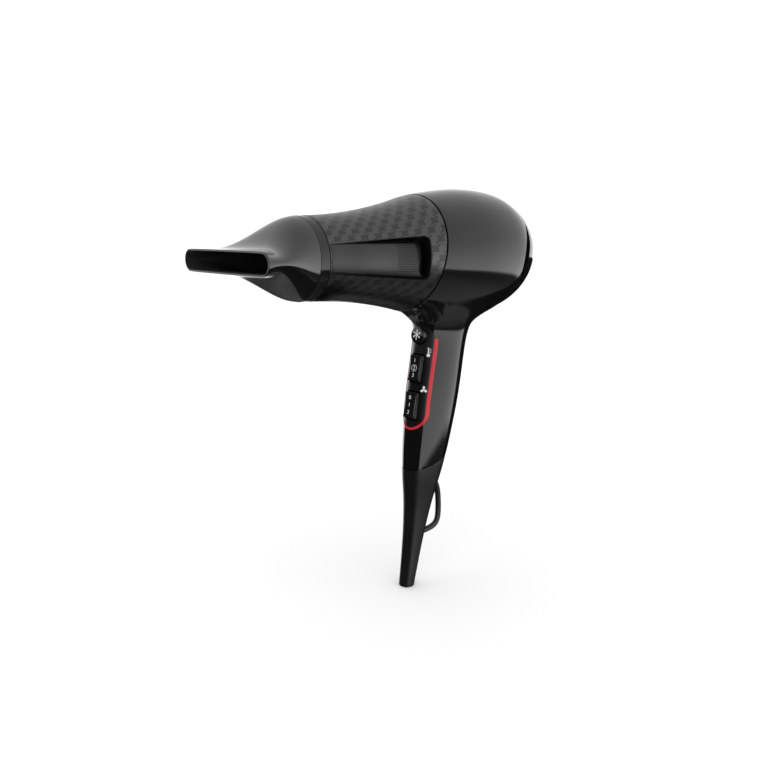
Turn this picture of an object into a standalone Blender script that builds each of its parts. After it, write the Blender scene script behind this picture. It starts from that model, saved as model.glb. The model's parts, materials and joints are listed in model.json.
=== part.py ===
"""Travel hair dryer with a slot concentrator, built as separate solids.

The barrel lies along X with its mouth at -X, the handle hangs down along -Z, and the
left and right halves meet at Y = 0. The origin is the middle of the whole object's box.
All sizes below are in millimetres; MM turns them into metres.
"""

import math

import bmesh
import bpy
from mathutils import Matrix, Vector

MM = 0.001
GAP = 0.3            # clearance between neighbouring pieces
WALL = 2.2           # moulded walls

# Barrel: stations along X, radii about an axis at height AXIS_Z
AXIS_Z = 99.5
MOUTH_X = -132.0     # lip of the concentrator
COLLAR_X = -84.1     # concentrator meets the outlet ring
RING_X = -77.3       # outlet ring meets the sleeve
SHOULDER_X = 8.05    # sleeve meets the housing, on the axis
WIDEST_X = 65.7
REAR_X = 132.0
RING_R = 25.4
SHOULDER_R = 38.8
BULB_R = 45.0
WAIST = 3.14         # how far the sleeve's side is hollowed below a straight cone
DOME_POWER = 2.11
SHOULDER_SLOPE = 0.168   # lean of the sleeve seam, in X per Z
COVER_X = 94.3       # rear cover seam on the axis
COVER_SLOPE = 0.33

# Concentrator mouth
MOUTH_HALF_WIDTH = 42.0
MOUTH_HALF_HEIGHT = 6.7
NOZZLE_WALL = 1.6

# Handle: a line leaning back, x = HANDLE_X + HANDLE_LEAN * z
HANDLE_X = 39.2
HANDLE_LEAN = 0.18
HANDLE_ANGLE = math.atan(HANDLE_LEAN)
SEAM_Z = -49.35      # handle and cord guard meet here, on the handle's centre line
SEAM_SLOPE = 0.3
GUARD_END_Z = -144.5
CORD_BORE_R = 3.8

# Control panel, an upright tongue in the front of the handle
PANEL_HALF_WIDTH = 10.3
PANEL_ROUND_Z = -12.0    # centre of the tongue's round lower end
PANEL_TOP_Z = 52.0
TRIM_INNER = 10.6
TRIM_OUTER = 12.5
TRIM_TOP_Z = 41.6

# Places along the handle, in the handle's own frame
HEAT_Z = 16.2
SPEED_Z = -10.5
COOL_Z = 40.0
PIVOT_X = -16.5
ROCKER_HALF_LENGTH = 9.3
ROCKER_HALF_WIDTH = 5.5

TURN_STEPS = 32
MOTOR_STEPS = 20
SMALL_STEPS = 16


# ---------------------------------------------------------------- scene and materials

def clear_scene():
    for item in list(bpy.data.objects):
        bpy.data.objects.remove(item, do_unlink=True)


def new_collection(name):
    collection = bpy.data.collections.new(name)
    bpy.context.scene.collection.children.link(collection)
    return collection


def new_material(name, colour, roughness, metallic=0.0):
    material = bpy.data.materials.new(name)
    material.use_nodes = True
    shader = material.node_tree.nodes["Principled BSDF"]
    shader.inputs["Base Color"].default_value = (*colour, 1.0)
    shader.inputs["Roughness"].default_value = roughness
    shader.inputs["Metallic"].default_value = metallic
    material.diffuse_color = (*colour, 1.0)
    return material


clear_scene()
PARTS = new_collection("travel_hair_dryer")
CUTTERS = new_collection("cutters")

GLOSS_BLACK = new_material("gloss_black_abs", (0.012, 0.012, 0.013), 0.12)
SLEEVE_GREY = new_material("satin_grey_sleeve", (0.07, 0.07, 0.072), 0.4)
MATT_BLACK = new_material("matt_black_nylon", (0.02, 0.02, 0.02), 0.55)
SOFT_RUBBER = new_material("soft_rubber", (0.02, 0.02, 0.021), 0.65)
RED_TRIM = new_material("red_trim", (0.55, 0.02, 0.03), 0.3)
MICA = new_material("mica_sheet", (0.55, 0.48, 0.36), 0.6)
COPPER = new_material("copper", (0.8, 0.4, 0.25), 0.35, 1.0)
STEEL = new_material("steel", (0.55, 0.55, 0.56), 0.35, 1.0)
NICHROME = new_material("nichrome_wire", (0.4, 0.38, 0.36), 0.4, 1.0)
BOARD_GREEN = new_material("circuit_board_green", (0.05, 0.2, 0.08), 0.5)
MAGNET = new_material("ferrite_magnet", (0.05, 0.05, 0.055), 0.7)
WIRE_RED = new_material("red_wire", (0.5, 0.03, 0.03), 0.5)
WIRE_BLUE = new_material("blue_wire", (0.03, 0.08, 0.4), 0.5)


# ---------------------------------------------------------------- frames

def empty_at(name, location, turn_y=0.0):
    """An empty that the pieces of one assembly hang on."""
    holder = bpy.data.objects.new(name, None)
    holder.location = Vector(location) * MM
    holder.rotation_euler = (0.0, turn_y, 0.0)
    PARTS.objects.link(holder)
    return holder


BARREL = empty_at("barrel_frame", (0, 0, AXIS_Z), math.pi / 2)     # its Z runs along world X
UPRIGHT = empty_at("barrel_upright", (0, 0, AXIS_Z))
HANDLE = empty_at("handle_frame", (HANDLE_X, 0, 0), HANDLE_ANGLE)  # its Z runs up the handle


# ---------------------------------------------------------------- shapes

def place(name, mesh, material, parent=None, location=(0, 0, 0), rotation=(0, 0, 0)):
    """Put a mesh in the scene; material None makes it a cutter."""
    piece = bpy.data.objects.new(name, mesh)
    piece.location = Vector(location) * MM
    piece.rotation_euler = rotation
    piece.parent = parent
    if material:
        mesh.materials.append(material)
        PARTS.objects.link(piece)
    else:
        CUTTERS.objects.link(piece)
        piece.display_type = "WIRE"
        piece.hide_render = True
    return piece


def mesh_from(bm, name):
    bmesh.ops.recalc_face_normals(bm, faces=bm.faces)
    mesh = bpy.data.meshes.new(name)
    bm.to_mesh(mesh)
    bm.free()
    return mesh


def smooth(piece, degrees=35):
    piece.data.shade_smooth()
    piece.data.set_sharp_from_angle(angle=math.radians(degrees))
    return piece


def box(name, low, high, material=None, parent=None, turn=(0, 0, 0)):
    """A box between two corners, in its parent's frame."""
    low, high = Vector(low) * MM, Vector(high) * MM
    bm = bmesh.new()
    bmesh.ops.create_cube(bm, size=1.0)
    bmesh.ops.scale(bm, vec=high - low, verts=bm.verts)
    bmesh.ops.translate(bm, vec=(high + low) / 2, verts=bm.verts)
    return place(name, mesh_from(bm, name), material, parent, rotation=turn)


def turned(name, outline, material=None, parent=BARREL, steps=TURN_STEPS, **kw):
    """Screw an outline of (station, radius) points round the parent's Z axis.

    The outline runs down its outer side, from the highest station to the lowest.
    """
    mesh = bpy.data.meshes.new(name)
    points = [(radius * MM, 0.0, station * MM) for station, radius in outline]
    edges = [(i, i + 1) for i in range(len(points) - 1)]
    if outline[0][1] > 0:
        edges.append((len(points) - 1, 0))
    mesh.from_pydata(points, edges, [])
    piece = place(name, mesh, material, parent, **kw)
    screw = piece.modifiers.new("turn", "SCREW")
    screw.steps = steps
    screw.render_steps = steps
    screw.use_merge_vertices = True
    screw.merge_threshold = 0.00001
    screw.use_smooth_shade = True
    return piece


def tube_ring(name, x0, x1, inner, outer, material=None, **kw):
    """A plain ring between two stations."""
    return turned(name, [(x1, outer), (x0, outer), (x0, inner), (x1, inner)], material, **kw)


def rod(name, x0, x1, radius, material=None, **kw):
    """A plain rod between two stations."""
    return turned(name, [(x1, 0), (x1, radius), (x0, radius), (x0, 0)], material, **kw)


def ellipse(centre_x, half_x, half_y, z, count=24):
    """One level ring of a handle loft."""
    return [Vector((centre_x + half_x * math.cos(a), half_y * math.sin(a), z)) * MM
            for a in (2 * math.pi * i / count for i in range(count))]


def loft(name, rings, material=None, parent=None, hollow=False):
    """Skin a row of rings. A hollow loft joins its last ring to its first."""
    bm = bmesh.new()
    rows = [[bm.verts.new(point) for point in ring] for ring in rings]
    count = len(rows[0])
    pairs = list(zip(rows, rows[1:]))
    if hollow:
        pairs.append((rows[-1], rows[0]))
    else:
        bm.faces.new(rows[0])
        bm.faces.new(rows[-1])
    for lower, upper in pairs:
        for i in range(count):
            j = (i + 1) % count
            bm.faces.new((lower[i], lower[j], upper[j], upper[i]))
    return smooth(place(name, mesh_from(bm, name), material, parent))


def prism(name, outline, low, high, axis, material=None, parent=None):
    """Push a flat outline between two stations of X or Y.

    The outline is (y, z) points for axis X and (x, z) points for axis Y.
    """
    bm = bmesh.new()
    if axis == "X":
        corners = [Vector((low, a, b)) * MM for a, b in outline]
        reach = Vector((high - low, 0, 0)) * MM
    else:
        corners = [Vector((a, low, b)) * MM for a, b in outline]
        reach = Vector((0, high - low, 0)) * MM
    face = bm.faces.new([bm.verts.new(corner) for corner in corners])
    pushed = bmesh.ops.extrude_face_region(bm, geom=[face])
    fresh = [item for item in pushed["geom"] if isinstance(item, bmesh.types.BMVert)]
    bmesh.ops.translate(bm, vec=reach, verts=fresh)
    return place(name, mesh_from(bm, name), material, parent)


def combine(piece, tool, how="DIFFERENCE", solver="EXACT"):
    step = piece.modifiers.new(how.lower(), "BOOLEAN")
    step.operation = how
    step.object = tool
    step.solver = solver
    return piece


def settled(name, source, material):
    """A new piece with the evaluated mesh of a guide, so that halves share one shape."""
    bpy.context.view_layer.update()
    seen = source.evaluated_get(bpy.context.evaluated_depsgraph_get())
    mesh = bpy.data.meshes.new_from_object(seen)
    mesh.name = name
    mesh.transform(source.matrix_world)
    mesh.materials.clear()
    return smooth(place(name, mesh, material))


def wire(name, points, radius, material, parent=None, resolution=2, keep=True):
    """A round wire through a row of points."""
    curve = bpy.data.curves.new(name, "CURVE")
    curve.dimensions = "3D"
    curve.bevel_depth = radius * MM
    curve.bevel_resolution = resolution
    curve.use_fill_caps = True
    spline = curve.splines.new("POLY")
    spline.points.add(len(points) - 1)
    for knot, point in zip(spline.points, points):
        knot.co = (*(Vector(point) * MM), 1.0)
    if keep:
        curve.materials.append(material)
    piece = bpy.data.objects.new(name, curve)
    piece.parent = parent
    (PARTS if keep else CUTTERS).objects.link(piece)
    return piece


def solid_wire(name, points, radius, material=None, parent=None, resolution=2):
    """A wire made a welded mesh, so that it can be cut or joined."""
    guide = wire(name + "_guide", points, radius, None, parent, resolution, keep=False)
    bpy.context.view_layer.update()
    seen = guide.evaluated_get(bpy.context.evaluated_depsgraph_get())
    mesh = bpy.data.meshes.new_from_object(seen)
    bm = bmesh.new()
    bm.from_mesh(mesh)
    bmesh.ops.remove_doubles(bm, verts=bm.verts, dist=0.00001)
    bmesh.ops.recalc_face_normals(bm, faces=bm.faces)
    bm.to_mesh(mesh)
    bm.free()
    place_of = guide.matrix_world.copy()
    bpy.data.objects.remove(guide)
    piece = place(name, mesh, material)
    piece.matrix_world = place_of
    return smooth(piece)


def through(points, per_span=4):
    """Points along a smooth curve (Catmull-Rom) through a few hand-set ones."""
    knots = [Vector(p) for p in points]
    knots = [2 * knots[0] - knots[1]] + knots + [2 * knots[-1] - knots[-2]]
    path = []
    for a, b, c, d in zip(knots, knots[1:], knots[2:], knots[3:]):
        for i in range(per_span):
            t = i / per_span
            path.append(0.5 * (2 * b + (c - a) * t + (2 * a - 5 * b + 4 * c - d) * t * t
                               + (3 * b - a - 3 * c + d) * t ** 3))
    return path + [knots[-2]]


# ---------------------------------------------------------------- the barrel's outline

def barrel_radius(x):
    """Outer radius of sleeve and housing at a station along the barrel."""
    if x <= SHOULDER_X:
        t = (x - COLLAR_X) / (SHOULDER_X - COLLAR_X)
        return RING_R + (SHOULDER_R - RING_R) * t - 4 * WAIST * t * (1 - t)
    if x <= WIDEST_X:
        t = (x - SHOULDER_X) / (WIDEST_X - SHOULDER_X)
        return SHOULDER_R + (BULB_R - SHOULDER_R) * (1 - (1 - t) ** 2)
    t = (x - WIDEST_X) / (REAR_X - WIDEST_X)
    return BULB_R * (1 - min(t, 1.0) ** DOME_POWER) ** (1 / DOME_POWER)


def side_line(first_x, last_x, inset, count):
    """The barrel's side as (station, radius) points from last_x down to first_x."""
    stations = [last_x + (first_x - last_x) * i / count for i in range(count + 1)]
    return [(x, barrel_radius(x) - inset) for x in stations]


def dome_line(inset, count):
    """The rear dome from its pole down to the widest station, evenly round the bend."""
    length = REAR_X - WIDEST_X
    points = []
    for i in range(count):
        angle = math.pi / 2 * (1 - i / count)
        x = WIDEST_X + length * math.sin(angle) ** (2 / DOME_POWER)
        radius = BULB_R * math.cos(angle) ** (2 / DOME_POWER) if i else 0.0
        points.append((x, radius))
    if not inset:
        return points
    shrink = (BULB_R - inset) / BULB_R
    return [(WIDEST_X + (x - WIDEST_X) * (length - inset) / length, r * shrink) for x, r in points]


def leaning_block(name, x, slope, reach):
    """A block whose one face is the leaning plane through (x, AXIS_Z); reach gives its side."""
    low, high = sorted((0, reach))
    return box(name, (low, -70, -70), (high, 70, 70), parent=empty_at(
        name + "_frame", (x, 0, AXIS_Z), math.atan(slope)))


# ---------------------------------------------------------------- the handle's outline

HANDLE_SECTIONS = [   # height, half depth, half width, backward shift
    (-64, 15.3, 12.3, 0), (-48, 18.2, 14.5, 0), (-36, 19.3, 15.5, 0), (-24, 20.3, 16.3, 0),
    (-10, 21.4, 17.2, 0), (8, 21.8, 17.5, 0), (24, 21.5, 17.2, 0), (36, 21.3, 17.1, 0),
    (46, 22.4, 18.0, 0), (52, 24.4, 19.3, 0.4), (57, 27.2, 21.2, 1.5), (63, 30.5, 24.0, 3.0),
    (69, 33.0, 27.0, 4.0)]

HOLLOW_SECTIONS = [(-70, 14.6, 11.8, 0)] + HANDLE_SECTIONS[1:-1] + [(67, 32.0, 26.0, 3.7)]

GUARD_SECTIONS = [   # height, half depth, half width
    (-40, 19.0, 15.2), (-48, 18.2, 14.5), (-56, 16.8, 13.4), (-64, 15.2, 12.4), (-74, 12.7, 10.8),
    (-86, 10.6, 9.4), (-100, 8.8, 8.1), (-116, 7.3, 7.1), (-130, 6.4, 6.4), (GUARD_END_Z, 5.7, 5.7)]


def handle_rings(grow, sections=HANDLE_SECTIONS):
    """Level rings up the handle, each grown or shrunk by the same amount."""
    rings = []
    for section in sections:
        z, half_x, half_y = section[:3]
        shift = section[3] if len(section) > 3 else 0
        rings.append(ellipse(HANDLE_X + HANDLE_LEAN * z + shift, half_x + grow, half_y + grow, z))
    return rings


def tongue(half_width, top, count=12):
    """An upright tongue in (y, z) with a round lower end."""
    low = [(-half_width * math.cos(math.pi * i / count),
            PANEL_ROUND_Z - half_width * math.sin(math.pi * i / count)) for i in range(count + 1)]
    return low + [(half_width, top), (-half_width, top)]


# ---------------------------------------------------------------- concentrator

def mouth_ring(t, x, inset, count=28):
    """One ring of the concentrator: a circle at t = 0 turning into a flat slot at t = 1."""
    ease = 0.85 * t + 0.15 * t * t * (3 - 2 * t)
    flat = min(1.0, t / 0.82)
    flat = flat * flat * (3 - 2 * flat)
    half_y = RING_R + (MOUTH_HALF_WIDTH - RING_R) * ease - inset
    half_z = RING_R + (MOUTH_HALF_HEIGHT - RING_R) * flat - inset
    straight = max(half_y - half_z, 0.0)
    ring = []
    for i in range(count):
        a = 2 * math.pi * i / count
        oval = Vector((half_y * math.cos(a), half_z * math.sin(a)))
        side = math.copysign(1, math.cos(a)) if abs(math.cos(a)) > 1e-6 else 0
        slot = Vector((side * straight + half_z * math.cos(a), half_z * math.sin(a)))
        if side == 0:
            slot.x = 0
        mix = oval.lerp(slot, t ** 2)
        ring.append(Vector((x, mix.x, mix.y + AXIS_Z)) * MM)
    return ring


def concentrator():
    stations = [i / 7 for i in range(8)]
    length = MOUTH_X - COLLAR_X + GAP
    outside = [mouth_ring(t, COLLAR_X - GAP + t * length, 0) for t in reversed(stations)]
    inside = [mouth_ring(t, COLLAR_X - GAP + t * length, NOZZLE_WALL) for t in stations]
    loft("nozzle_shell", outside + inside, GLOSS_BLACK, hollow=True)
    tube_ring("nozzle_snap_ring", COLLAR_X - 3.6, COLLAR_X - 0.8, 22.4, 22.8, MATT_BLACK)


# ---------------------------------------------------------------- outlet ring and grille

def outlet():
    front = COLLAR_X - 4.6
    turned("outlet_ring", [
        (RING_X + 6, 23.0), (RING_X - GAP, 23.0), (RING_X - GAP, RING_R + 0.1), (COLLAR_X, RING_R),
        (COLLAR_X, 22.1), (front, 22.1), (front, 20.6), (RING_X + 6, 21.5)], GLOSS_BLACK)
    grille = tube_ring("outlet_grille", -83.0, -80.0, 18.6, 20.2, MATT_BLACK, steps=24)
    for name, inner, outer in (("grille_ring", 10.2, 11.6), ("grille_hub", 2.6, 4.4)):
        combine(grille, tube_ring(name, -82.8, -80.2, inner, outer, steps=SMALL_STEPS), "UNION")
    for i in range(3):
        turn = math.pi / 3 * i
        spoke = box(f"grille_spoke_{i}", (-19.4, -0.6, -82.6), (19.4, 0.6, -80.4), parent=BARREL,
                    turn=(0, 0, turn))
        combine(grille, spoke, "UNION")


# ---------------------------------------------------------------- sleeve and side vents

VENT_FRONT_X = -72.0
VENT_REAR_X = -2.5
VENT_DEPTH = 7.5     # at the rear end


def vent_outline(grow):
    """The side vent's outline in (x, z) about the barrel axis."""
    rear, front = VENT_REAR_X + grow, VENT_FRONT_X - grow
    top_rear, top_front = 12.8 + grow, 8.6 + grow
    low_rear, low_front = -11.0 - grow, -7.0 - grow
    soft = 2.5
    return [(front, low_front), (rear - soft, low_rear), (rear, low_rear + soft),
            (rear, top_rear - soft), (rear - soft, top_rear), (front, top_front)]


def sleeve():
    outer = side_line(RING_X, 18.0, 0, 8)
    inner = side_line(RING_X, 18.0, 2.0, 4)
    piece = turned("barrel_sleeve", outer + inner[::-1], SLEEVE_GREY)
    combine(piece, leaning_block("sleeve_end", SHOULDER_X - GAP / 2, SHOULDER_SLOPE, 60))
    window = prism("vent_window", vent_outline(GAP), -60, 60, "Y", parent=UPRIGHT)
    combine(piece, window)


def vent_floor(inset, count=8):
    """The ramp as (station, radius) points: nearly flush in front, VENT_DEPTH at the rear."""
    first, last = VENT_FRONT_X - 4, VENT_REAR_X + 4
    points = []
    for i in range(count + 1):
        x = last + (first - last) * i / count
        t = (x - VENT_FRONT_X) / (VENT_REAR_X - VENT_FRONT_X)
        points.append((x, barrel_radius(x) - 0.4 - (VENT_DEPTH - 0.4) * t - inset))
    return points


def side_vent(name, side):
    """A ramped tray in the sleeve's side, with a finned slot at its deep end."""
    reach = sorted((side * 12, side * 60))
    tray = prism(name, vent_outline(0), reach[0], reach[1], "Y", SLEEVE_GREY, UPRIGHT)
    skin = side_line(VENT_FRONT_X - 4, VENT_REAR_X + 4, 0.05, 8)
    combine(tray, turned(name + "_skin", skin + vent_floor(1.5)[::-1]), "INTERSECT")
    hollow = turned(name + "_hollow", [(VENT_REAR_X + 4, 60), (VENT_FRONT_X - 4, 60)]
                    + vent_floor(0)[::-1])
    combine(hollow, prism(name + "_mouth", vent_outline(-1.0), reach[0], reach[1], "Y",
                          parent=UPRIGHT), "INTERSECT")
    combine(tray, hollow)
    for i in range(6):
        z = -7.4 + 2.9 * i
        slot = box(f"{name}_slot_{i}", (VENT_REAR_X - 7.2, side * 20, z),
                   (VENT_REAR_X - 2.2, side * 50, z + 1.6), parent=UPRIGHT)
        combine(tray, slot)


# ---------------------------------------------------------------- housing and rear cover

def bulb_solid(name, inset, front_x, material=None):
    rings = 7 if inset else 8
    outline = dome_line(inset, rings) + side_line(front_x, WIDEST_X, inset, rings - 2) + [(front_x, 0)]
    return turned(name, outline, material)


def crescent(name):
    """The lens-shaped intake slot that both sides share, along the rear cover's seam."""
    half_length, half_width, count = 18.0, 2.4, 10
    outline = []
    for side in (1, -1):
        for i in range(count):
            t = side * (1 - 2 * i / count)
            outline.append((side * half_width * (1 - t * t), t * half_length))
    holder = empty_at(name + "_frame", (COVER_X + 0.6, 0, AXIS_Z + 2.5), math.atan(COVER_SLOPE))
    return prism(name, outline, -60, 60, "Y", parent=holder)


def housing():
    whole = bulb_solid("housing_whole", 0, -6)
    combine(whole, loft("handle_outer", handle_rings(0)), "UNION")
    combine(whole, bulb_solid("bulb_hollow", WALL, -9))
    combine(whole, loft("handle_hollow", handle_rings(-WALL, HOLLOW_SECTIONS)))
    combine(whole, leaning_block("housing_front", SHOULDER_X + GAP / 2, SHOULDER_SLOPE, -60))
    combine(whole, leaning_block("housing_rear", COVER_X - GAP / 2, COVER_SLOPE, 80))
    combine(whole, crescent("housing_crescent"))
    wide_top = TRIM_TOP_Z + GAP         # the opening is wide beside the red trim, narrow above it
    narrow_top = PANEL_TOP_Z + GAP
    opening = tongue(TRIM_OUTER + GAP, wide_top)[:-2]
    opening += [(TRIM_OUTER + GAP, wide_top), (TRIM_INNER, wide_top), (TRIM_INNER, narrow_top),
                (-TRIM_INNER, narrow_top), (-TRIM_INNER, wide_top), (-TRIM_OUTER - GAP, wide_top)]
    combine(whole, prism("panel_opening", opening, -20, 38, "X"))
    combine(whole, box("handle_end", (-50, -40, -60), (80, 40, 0), parent=empty_at(
        "handle_end_frame", (HANDLE_X + HANDLE_LEAN * SEAM_Z, 0, SEAM_Z + GAP / 2),
        -math.atan(SEAM_SLOPE))))
    for name, side in (("housing_left", -1), ("housing_right", 1)):
        half = settled(name, whole, GLOSS_BLACK)
        low, high = sorted((side * GAP / 2, -side * 80))
        trim = box(name + "_trim", (-60, low, -120), (180, high, 200))
        combine(half, trim, solver="MANIFOLD")   # EXACT empties this one


def rear_cover():
    cover = bulb_solid("rear_cover", 0, 60, GLOSS_BLACK)
    combine(cover, bulb_solid("cover_hollow", WALL, 50))
    combine(cover, leaning_block("cover_front", COVER_X + GAP / 2, COVER_SLOPE, -80))
    combine(cover, crescent("cover_crescent"))
    spacing, half_slot, slot_round = 6.2, 1.5, 26.0
    for i in range(8):
        z = spacing * (i - 3.5)
        half_y = math.sqrt(slot_round ** 2 - z * z)
        combine(cover, box(f"cover_slot_{i}", (100, -half_y, z - half_slot),
                           (140, half_y, z + half_slot), parent=UPRIGHT))
    rod("filter_screen", 0, 1.2, 31.0, STEEL, steps=24, parent=empty_at(
        "screen_frame", (COVER_X + 4, 0, AXIS_Z - 1), math.pi / 2 + math.atan(COVER_SLOPE)))


# ---------------------------------------------------------------- heater

def heater():
    turned("heat_shield", [(6, 21.5), (-70.5, 21.3), (-70.5, 20.9), (6, 21.1)], MICA, steps=28)
    first = box("mica_board_upright", (-66, -0.4, -18.6), (-2, 0.4, 18.6), MICA, UPRIGHT)
    second = box("mica_board_level", (-66, -18.6, -0.4), (-2, 18.6, 0.4), MICA, UPRIGHT)
    half = -34.0
    combine(first, box("board_slit_rear", (half - GAP, -1, -0.7), (0, 1, 0.7), parent=UPRIGHT))
    combine(second, box("board_slit_front", (-70, -0.7, -1), (half, 0.7, 1), parent=UPRIGHT))
    turns, per_turn, radius = 8, 8, 19.7
    first_x, pitch = -62.0, 7.0
    coil = []
    for i in range(turns * per_turn + 1):
        angle = 2 * math.pi * i / per_turn
        x = first_x + pitch * i / per_turn
        coil.append((x, radius * math.cos(angle), radius * math.sin(angle)))
    wire("heating_coil", coil, 0.5, NICHROME, UPRIGHT, resolution=1)
    rod("thermostat", 0, 3.2, 4.5, STEEL, steps=SMALL_STEPS, parent=UPRIGHT,
        location=(-14, 8.5, 0.8))
    rod("thermal_fuse", -4.5, 4.5, 1.5, STEEL, steps=12, parent=UPRIGHT,
        location=(-44, -9, 2.4), rotation=(0, math.pi / 2, 0))


# ---------------------------------------------------------------- motor, fan and duct

DUCT_OUTLINE = [(78, 33.5), (60, 33.5), (45, 31.0), (25, 26.5), (9, 22.4)]   # inside


def fan():
    wall = 1.5
    outline = [(x, r + wall) for x, r in DUCT_OUTLINE] + DUCT_OUTLINE[::-1]
    duct = turned("fan_duct", outline, MATT_BLACK, steps=24)
    combine(duct, tube_ring("motor_sleeve", 34, 58, 16.0, 17.4, steps=MOTOR_STEPS), "UNION")
    for i in range(6):
        vane = box(f"vane_{i}", (-0.6, 16.8, 47), (0.6, 32.4, 57), parent=BARREL,
                   turn=(0, 0, math.pi / 3 * (i + 0.5)))
        combine(duct, vane, "UNION")
    combine(duct, box("wire_way", (27, -8, -37), (41, 8, -20), parent=UPRIGHT))
    tube_ring("motor_mount", 36, 56, 14.3, 15.7, SOFT_RUBBER, steps=MOTOR_STEPS)
    turned("motor_can", [(56.5, 2.6), (56.5, 14.0), (30, 14.0), (30, 13.0), (55.3, 13.0),
                         (55.3, 2.6)], STEEL, steps=MOTOR_STEPS)
    turned("motor_end_cap", [(29.7, 4.0), (29.7, 13.6), (27.2, 13.6), (27.2, 4.0)],
           MATT_BLACK, steps=MOTOR_STEPS)
    tube_ring("magnet_ring", 33, 53, 11.4, 12.7, MAGNET, steps=MOTOR_STEPS)
    tube_ring("armature", 34, 52, 1.8, 10.6, COPPER, steps=MOTOR_STEPS)
    rod("motor_shaft", 26.0, 73.0, 1.5, STEEL, steps=12)
    impeller = turned("impeller", [(72.6, 1.8), (72.6, 8.0), (70, 10.0), (60.5, 10.0), (60.5, 1.8)],
                      MATT_BLACK, steps=MOTOR_STEPS)
    blades = bmesh.new()
    count, pitch = 7, math.radians(42)
    for i in range(count):
        turn = Matrix.Rotation(2 * math.pi * i / count, 4, "Z")
        lean = Matrix.Rotation(pitch, 4, "Y")
        seat = turn @ Matrix.Translation(Vector((0, 20.2, 66.3)) * MM) @ lean
        blade = bmesh.ops.create_cube(blades, size=1.0)["verts"]
        bmesh.ops.scale(blades, vec=Vector((1.2, 23.4, 12.5)) * MM, verts=blade)
        bmesh.ops.transform(blades, matrix=seat, verts=blade)
    combine(impeller, place("impeller_blades", mesh_from(blades, "blades"), None, BARREL), "UNION")


# ---------------------------------------------------------------- handle controls

def panel():
    """Front panel and trim: slices of the handle's own skin."""
    outer = loft("skin_outer", handle_rings(0))
    inner = loft("skin_inner", handle_rings(-2.0, HOLLOW_SECTIONS))
    proud = loft("skin_proud", handle_rings(0.4))
    sunk = loft("skin_sunk", handle_rings(-1.6, HOLLOW_SECTIONS))
    plate = prism("control_panel", tongue(PANEL_HALF_WIDTH, PANEL_TOP_Z), -20, 38, "X", MATT_BLACK)
    combine(plate, outer, "INTERSECT")
    combine(plate, inner)
    for name, z in (("heat", HEAT_Z), ("speed", SPEED_Z)):
        combine(plate, box(name + "_window", (-30, -ROCKER_HALF_WIDTH - 0.5, z - 10.6),
                           (-8, ROCKER_HALF_WIDTH + 0.5, z + 10.6), parent=HANDLE))
    combine(plate, rod("cool_window", -30, -8, 6.7, steps=28, parent=front_frame("cool_cut", COOL_Z)))
    band = prism("trim_strip", tongue(TRIM_OUTER, TRIM_TOP_Z), -20, 38, "X", RED_TRIM)
    combine(band, prism("trim_core", tongue(TRIM_INNER, TRIM_TOP_Z + 5), -30, 40, "X"))
    combine(band, proud, "INTERSECT")
    combine(band, sunk)


def front_frame(name, z):
    """A holder on the handle's front line whose Z points inwards, across the handle."""
    holder = bpy.data.objects.new(name + "_axis", None)
    holder.parent = HANDLE
    holder.location = Vector((0, 0, z)) * MM
    holder.rotation_euler = (0, math.pi / 2, 0)
    PARTS.objects.link(holder)
    return holder


def rocker(name, z):
    """A rocking key on its own cross axis, with a paddle face and a narrow foot."""
    holder = bpy.data.objects.new(name + "_pivot", None)
    holder.parent = HANDLE
    holder.location = Vector((PIVOT_X, 0, z)) * MM
    PARTS.objects.link(holder)
    face = -22.6 - PIVOT_X
    outline = [(face, -ROCKER_HALF_LENGTH), (face + 0.9, -3.0), (face + 0.9, 3.0),
               (face, ROCKER_HALF_LENGTH), (-2.6, ROCKER_HALF_LENGTH - 0.3), (1.7, 2.6),
               (1.7, -2.6), (-2.6, -ROCKER_HALF_LENGTH + 0.3)]
    prism(name, outline, -ROCKER_HALF_WIDTH, ROCKER_HALF_WIDTH, "Y", MATT_BLACK, holder)


def controls():
    rocker("heat_rocker", HEAT_Z)
    rocker("speed_rocker", SPEED_Z)
    axis = front_frame("cool_shot", COOL_Z)
    turned("cool_shot_button", [(-13.6, 0), (-13.6, 2.0), (-15.2, 2.0), (-15.2, 7.0), (-16.2, 7.0),
                                (-16.2, 6.2), (-23.6, 6.2), (-24.6, 5.2), (-25.1, 3.2), (-25.2, 0)],
           GLOSS_BLACK, axis, steps=24)
    turns, per_turn, radius = 4, 8, 3.4
    coil = [(radius * math.cos(2 * math.pi * i / per_turn), radius * math.sin(2 * math.pi * i / per_turn),
             -14.6 + 2.6 * i / (turns * per_turn)) for i in range(turns * per_turn + 1)]
    wire("cool_shot_spring", coil, 0.25, STEEL, axis, resolution=1)
    for name, z, half in (("heat_switch_body", HEAT_Z, 8), ("speed_switch_body", SPEED_Z, 8),
                          ("cool_shot_switch", COOL_Z, 5)):
        front = -11.5 if name == "cool_shot_switch" else -13.8
        box(name, (front, -4.8, z - half), (-3.9, 4.8, z + half), MATT_BLACK, HANDLE)


# ---------------------------------------------------------------- inside the handle

SCREW_SPOTS = {"board_screw_1": (0, 31.0), "board_screw_2": (0, -29.0)}
CLAMP_Z = -36.5


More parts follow.
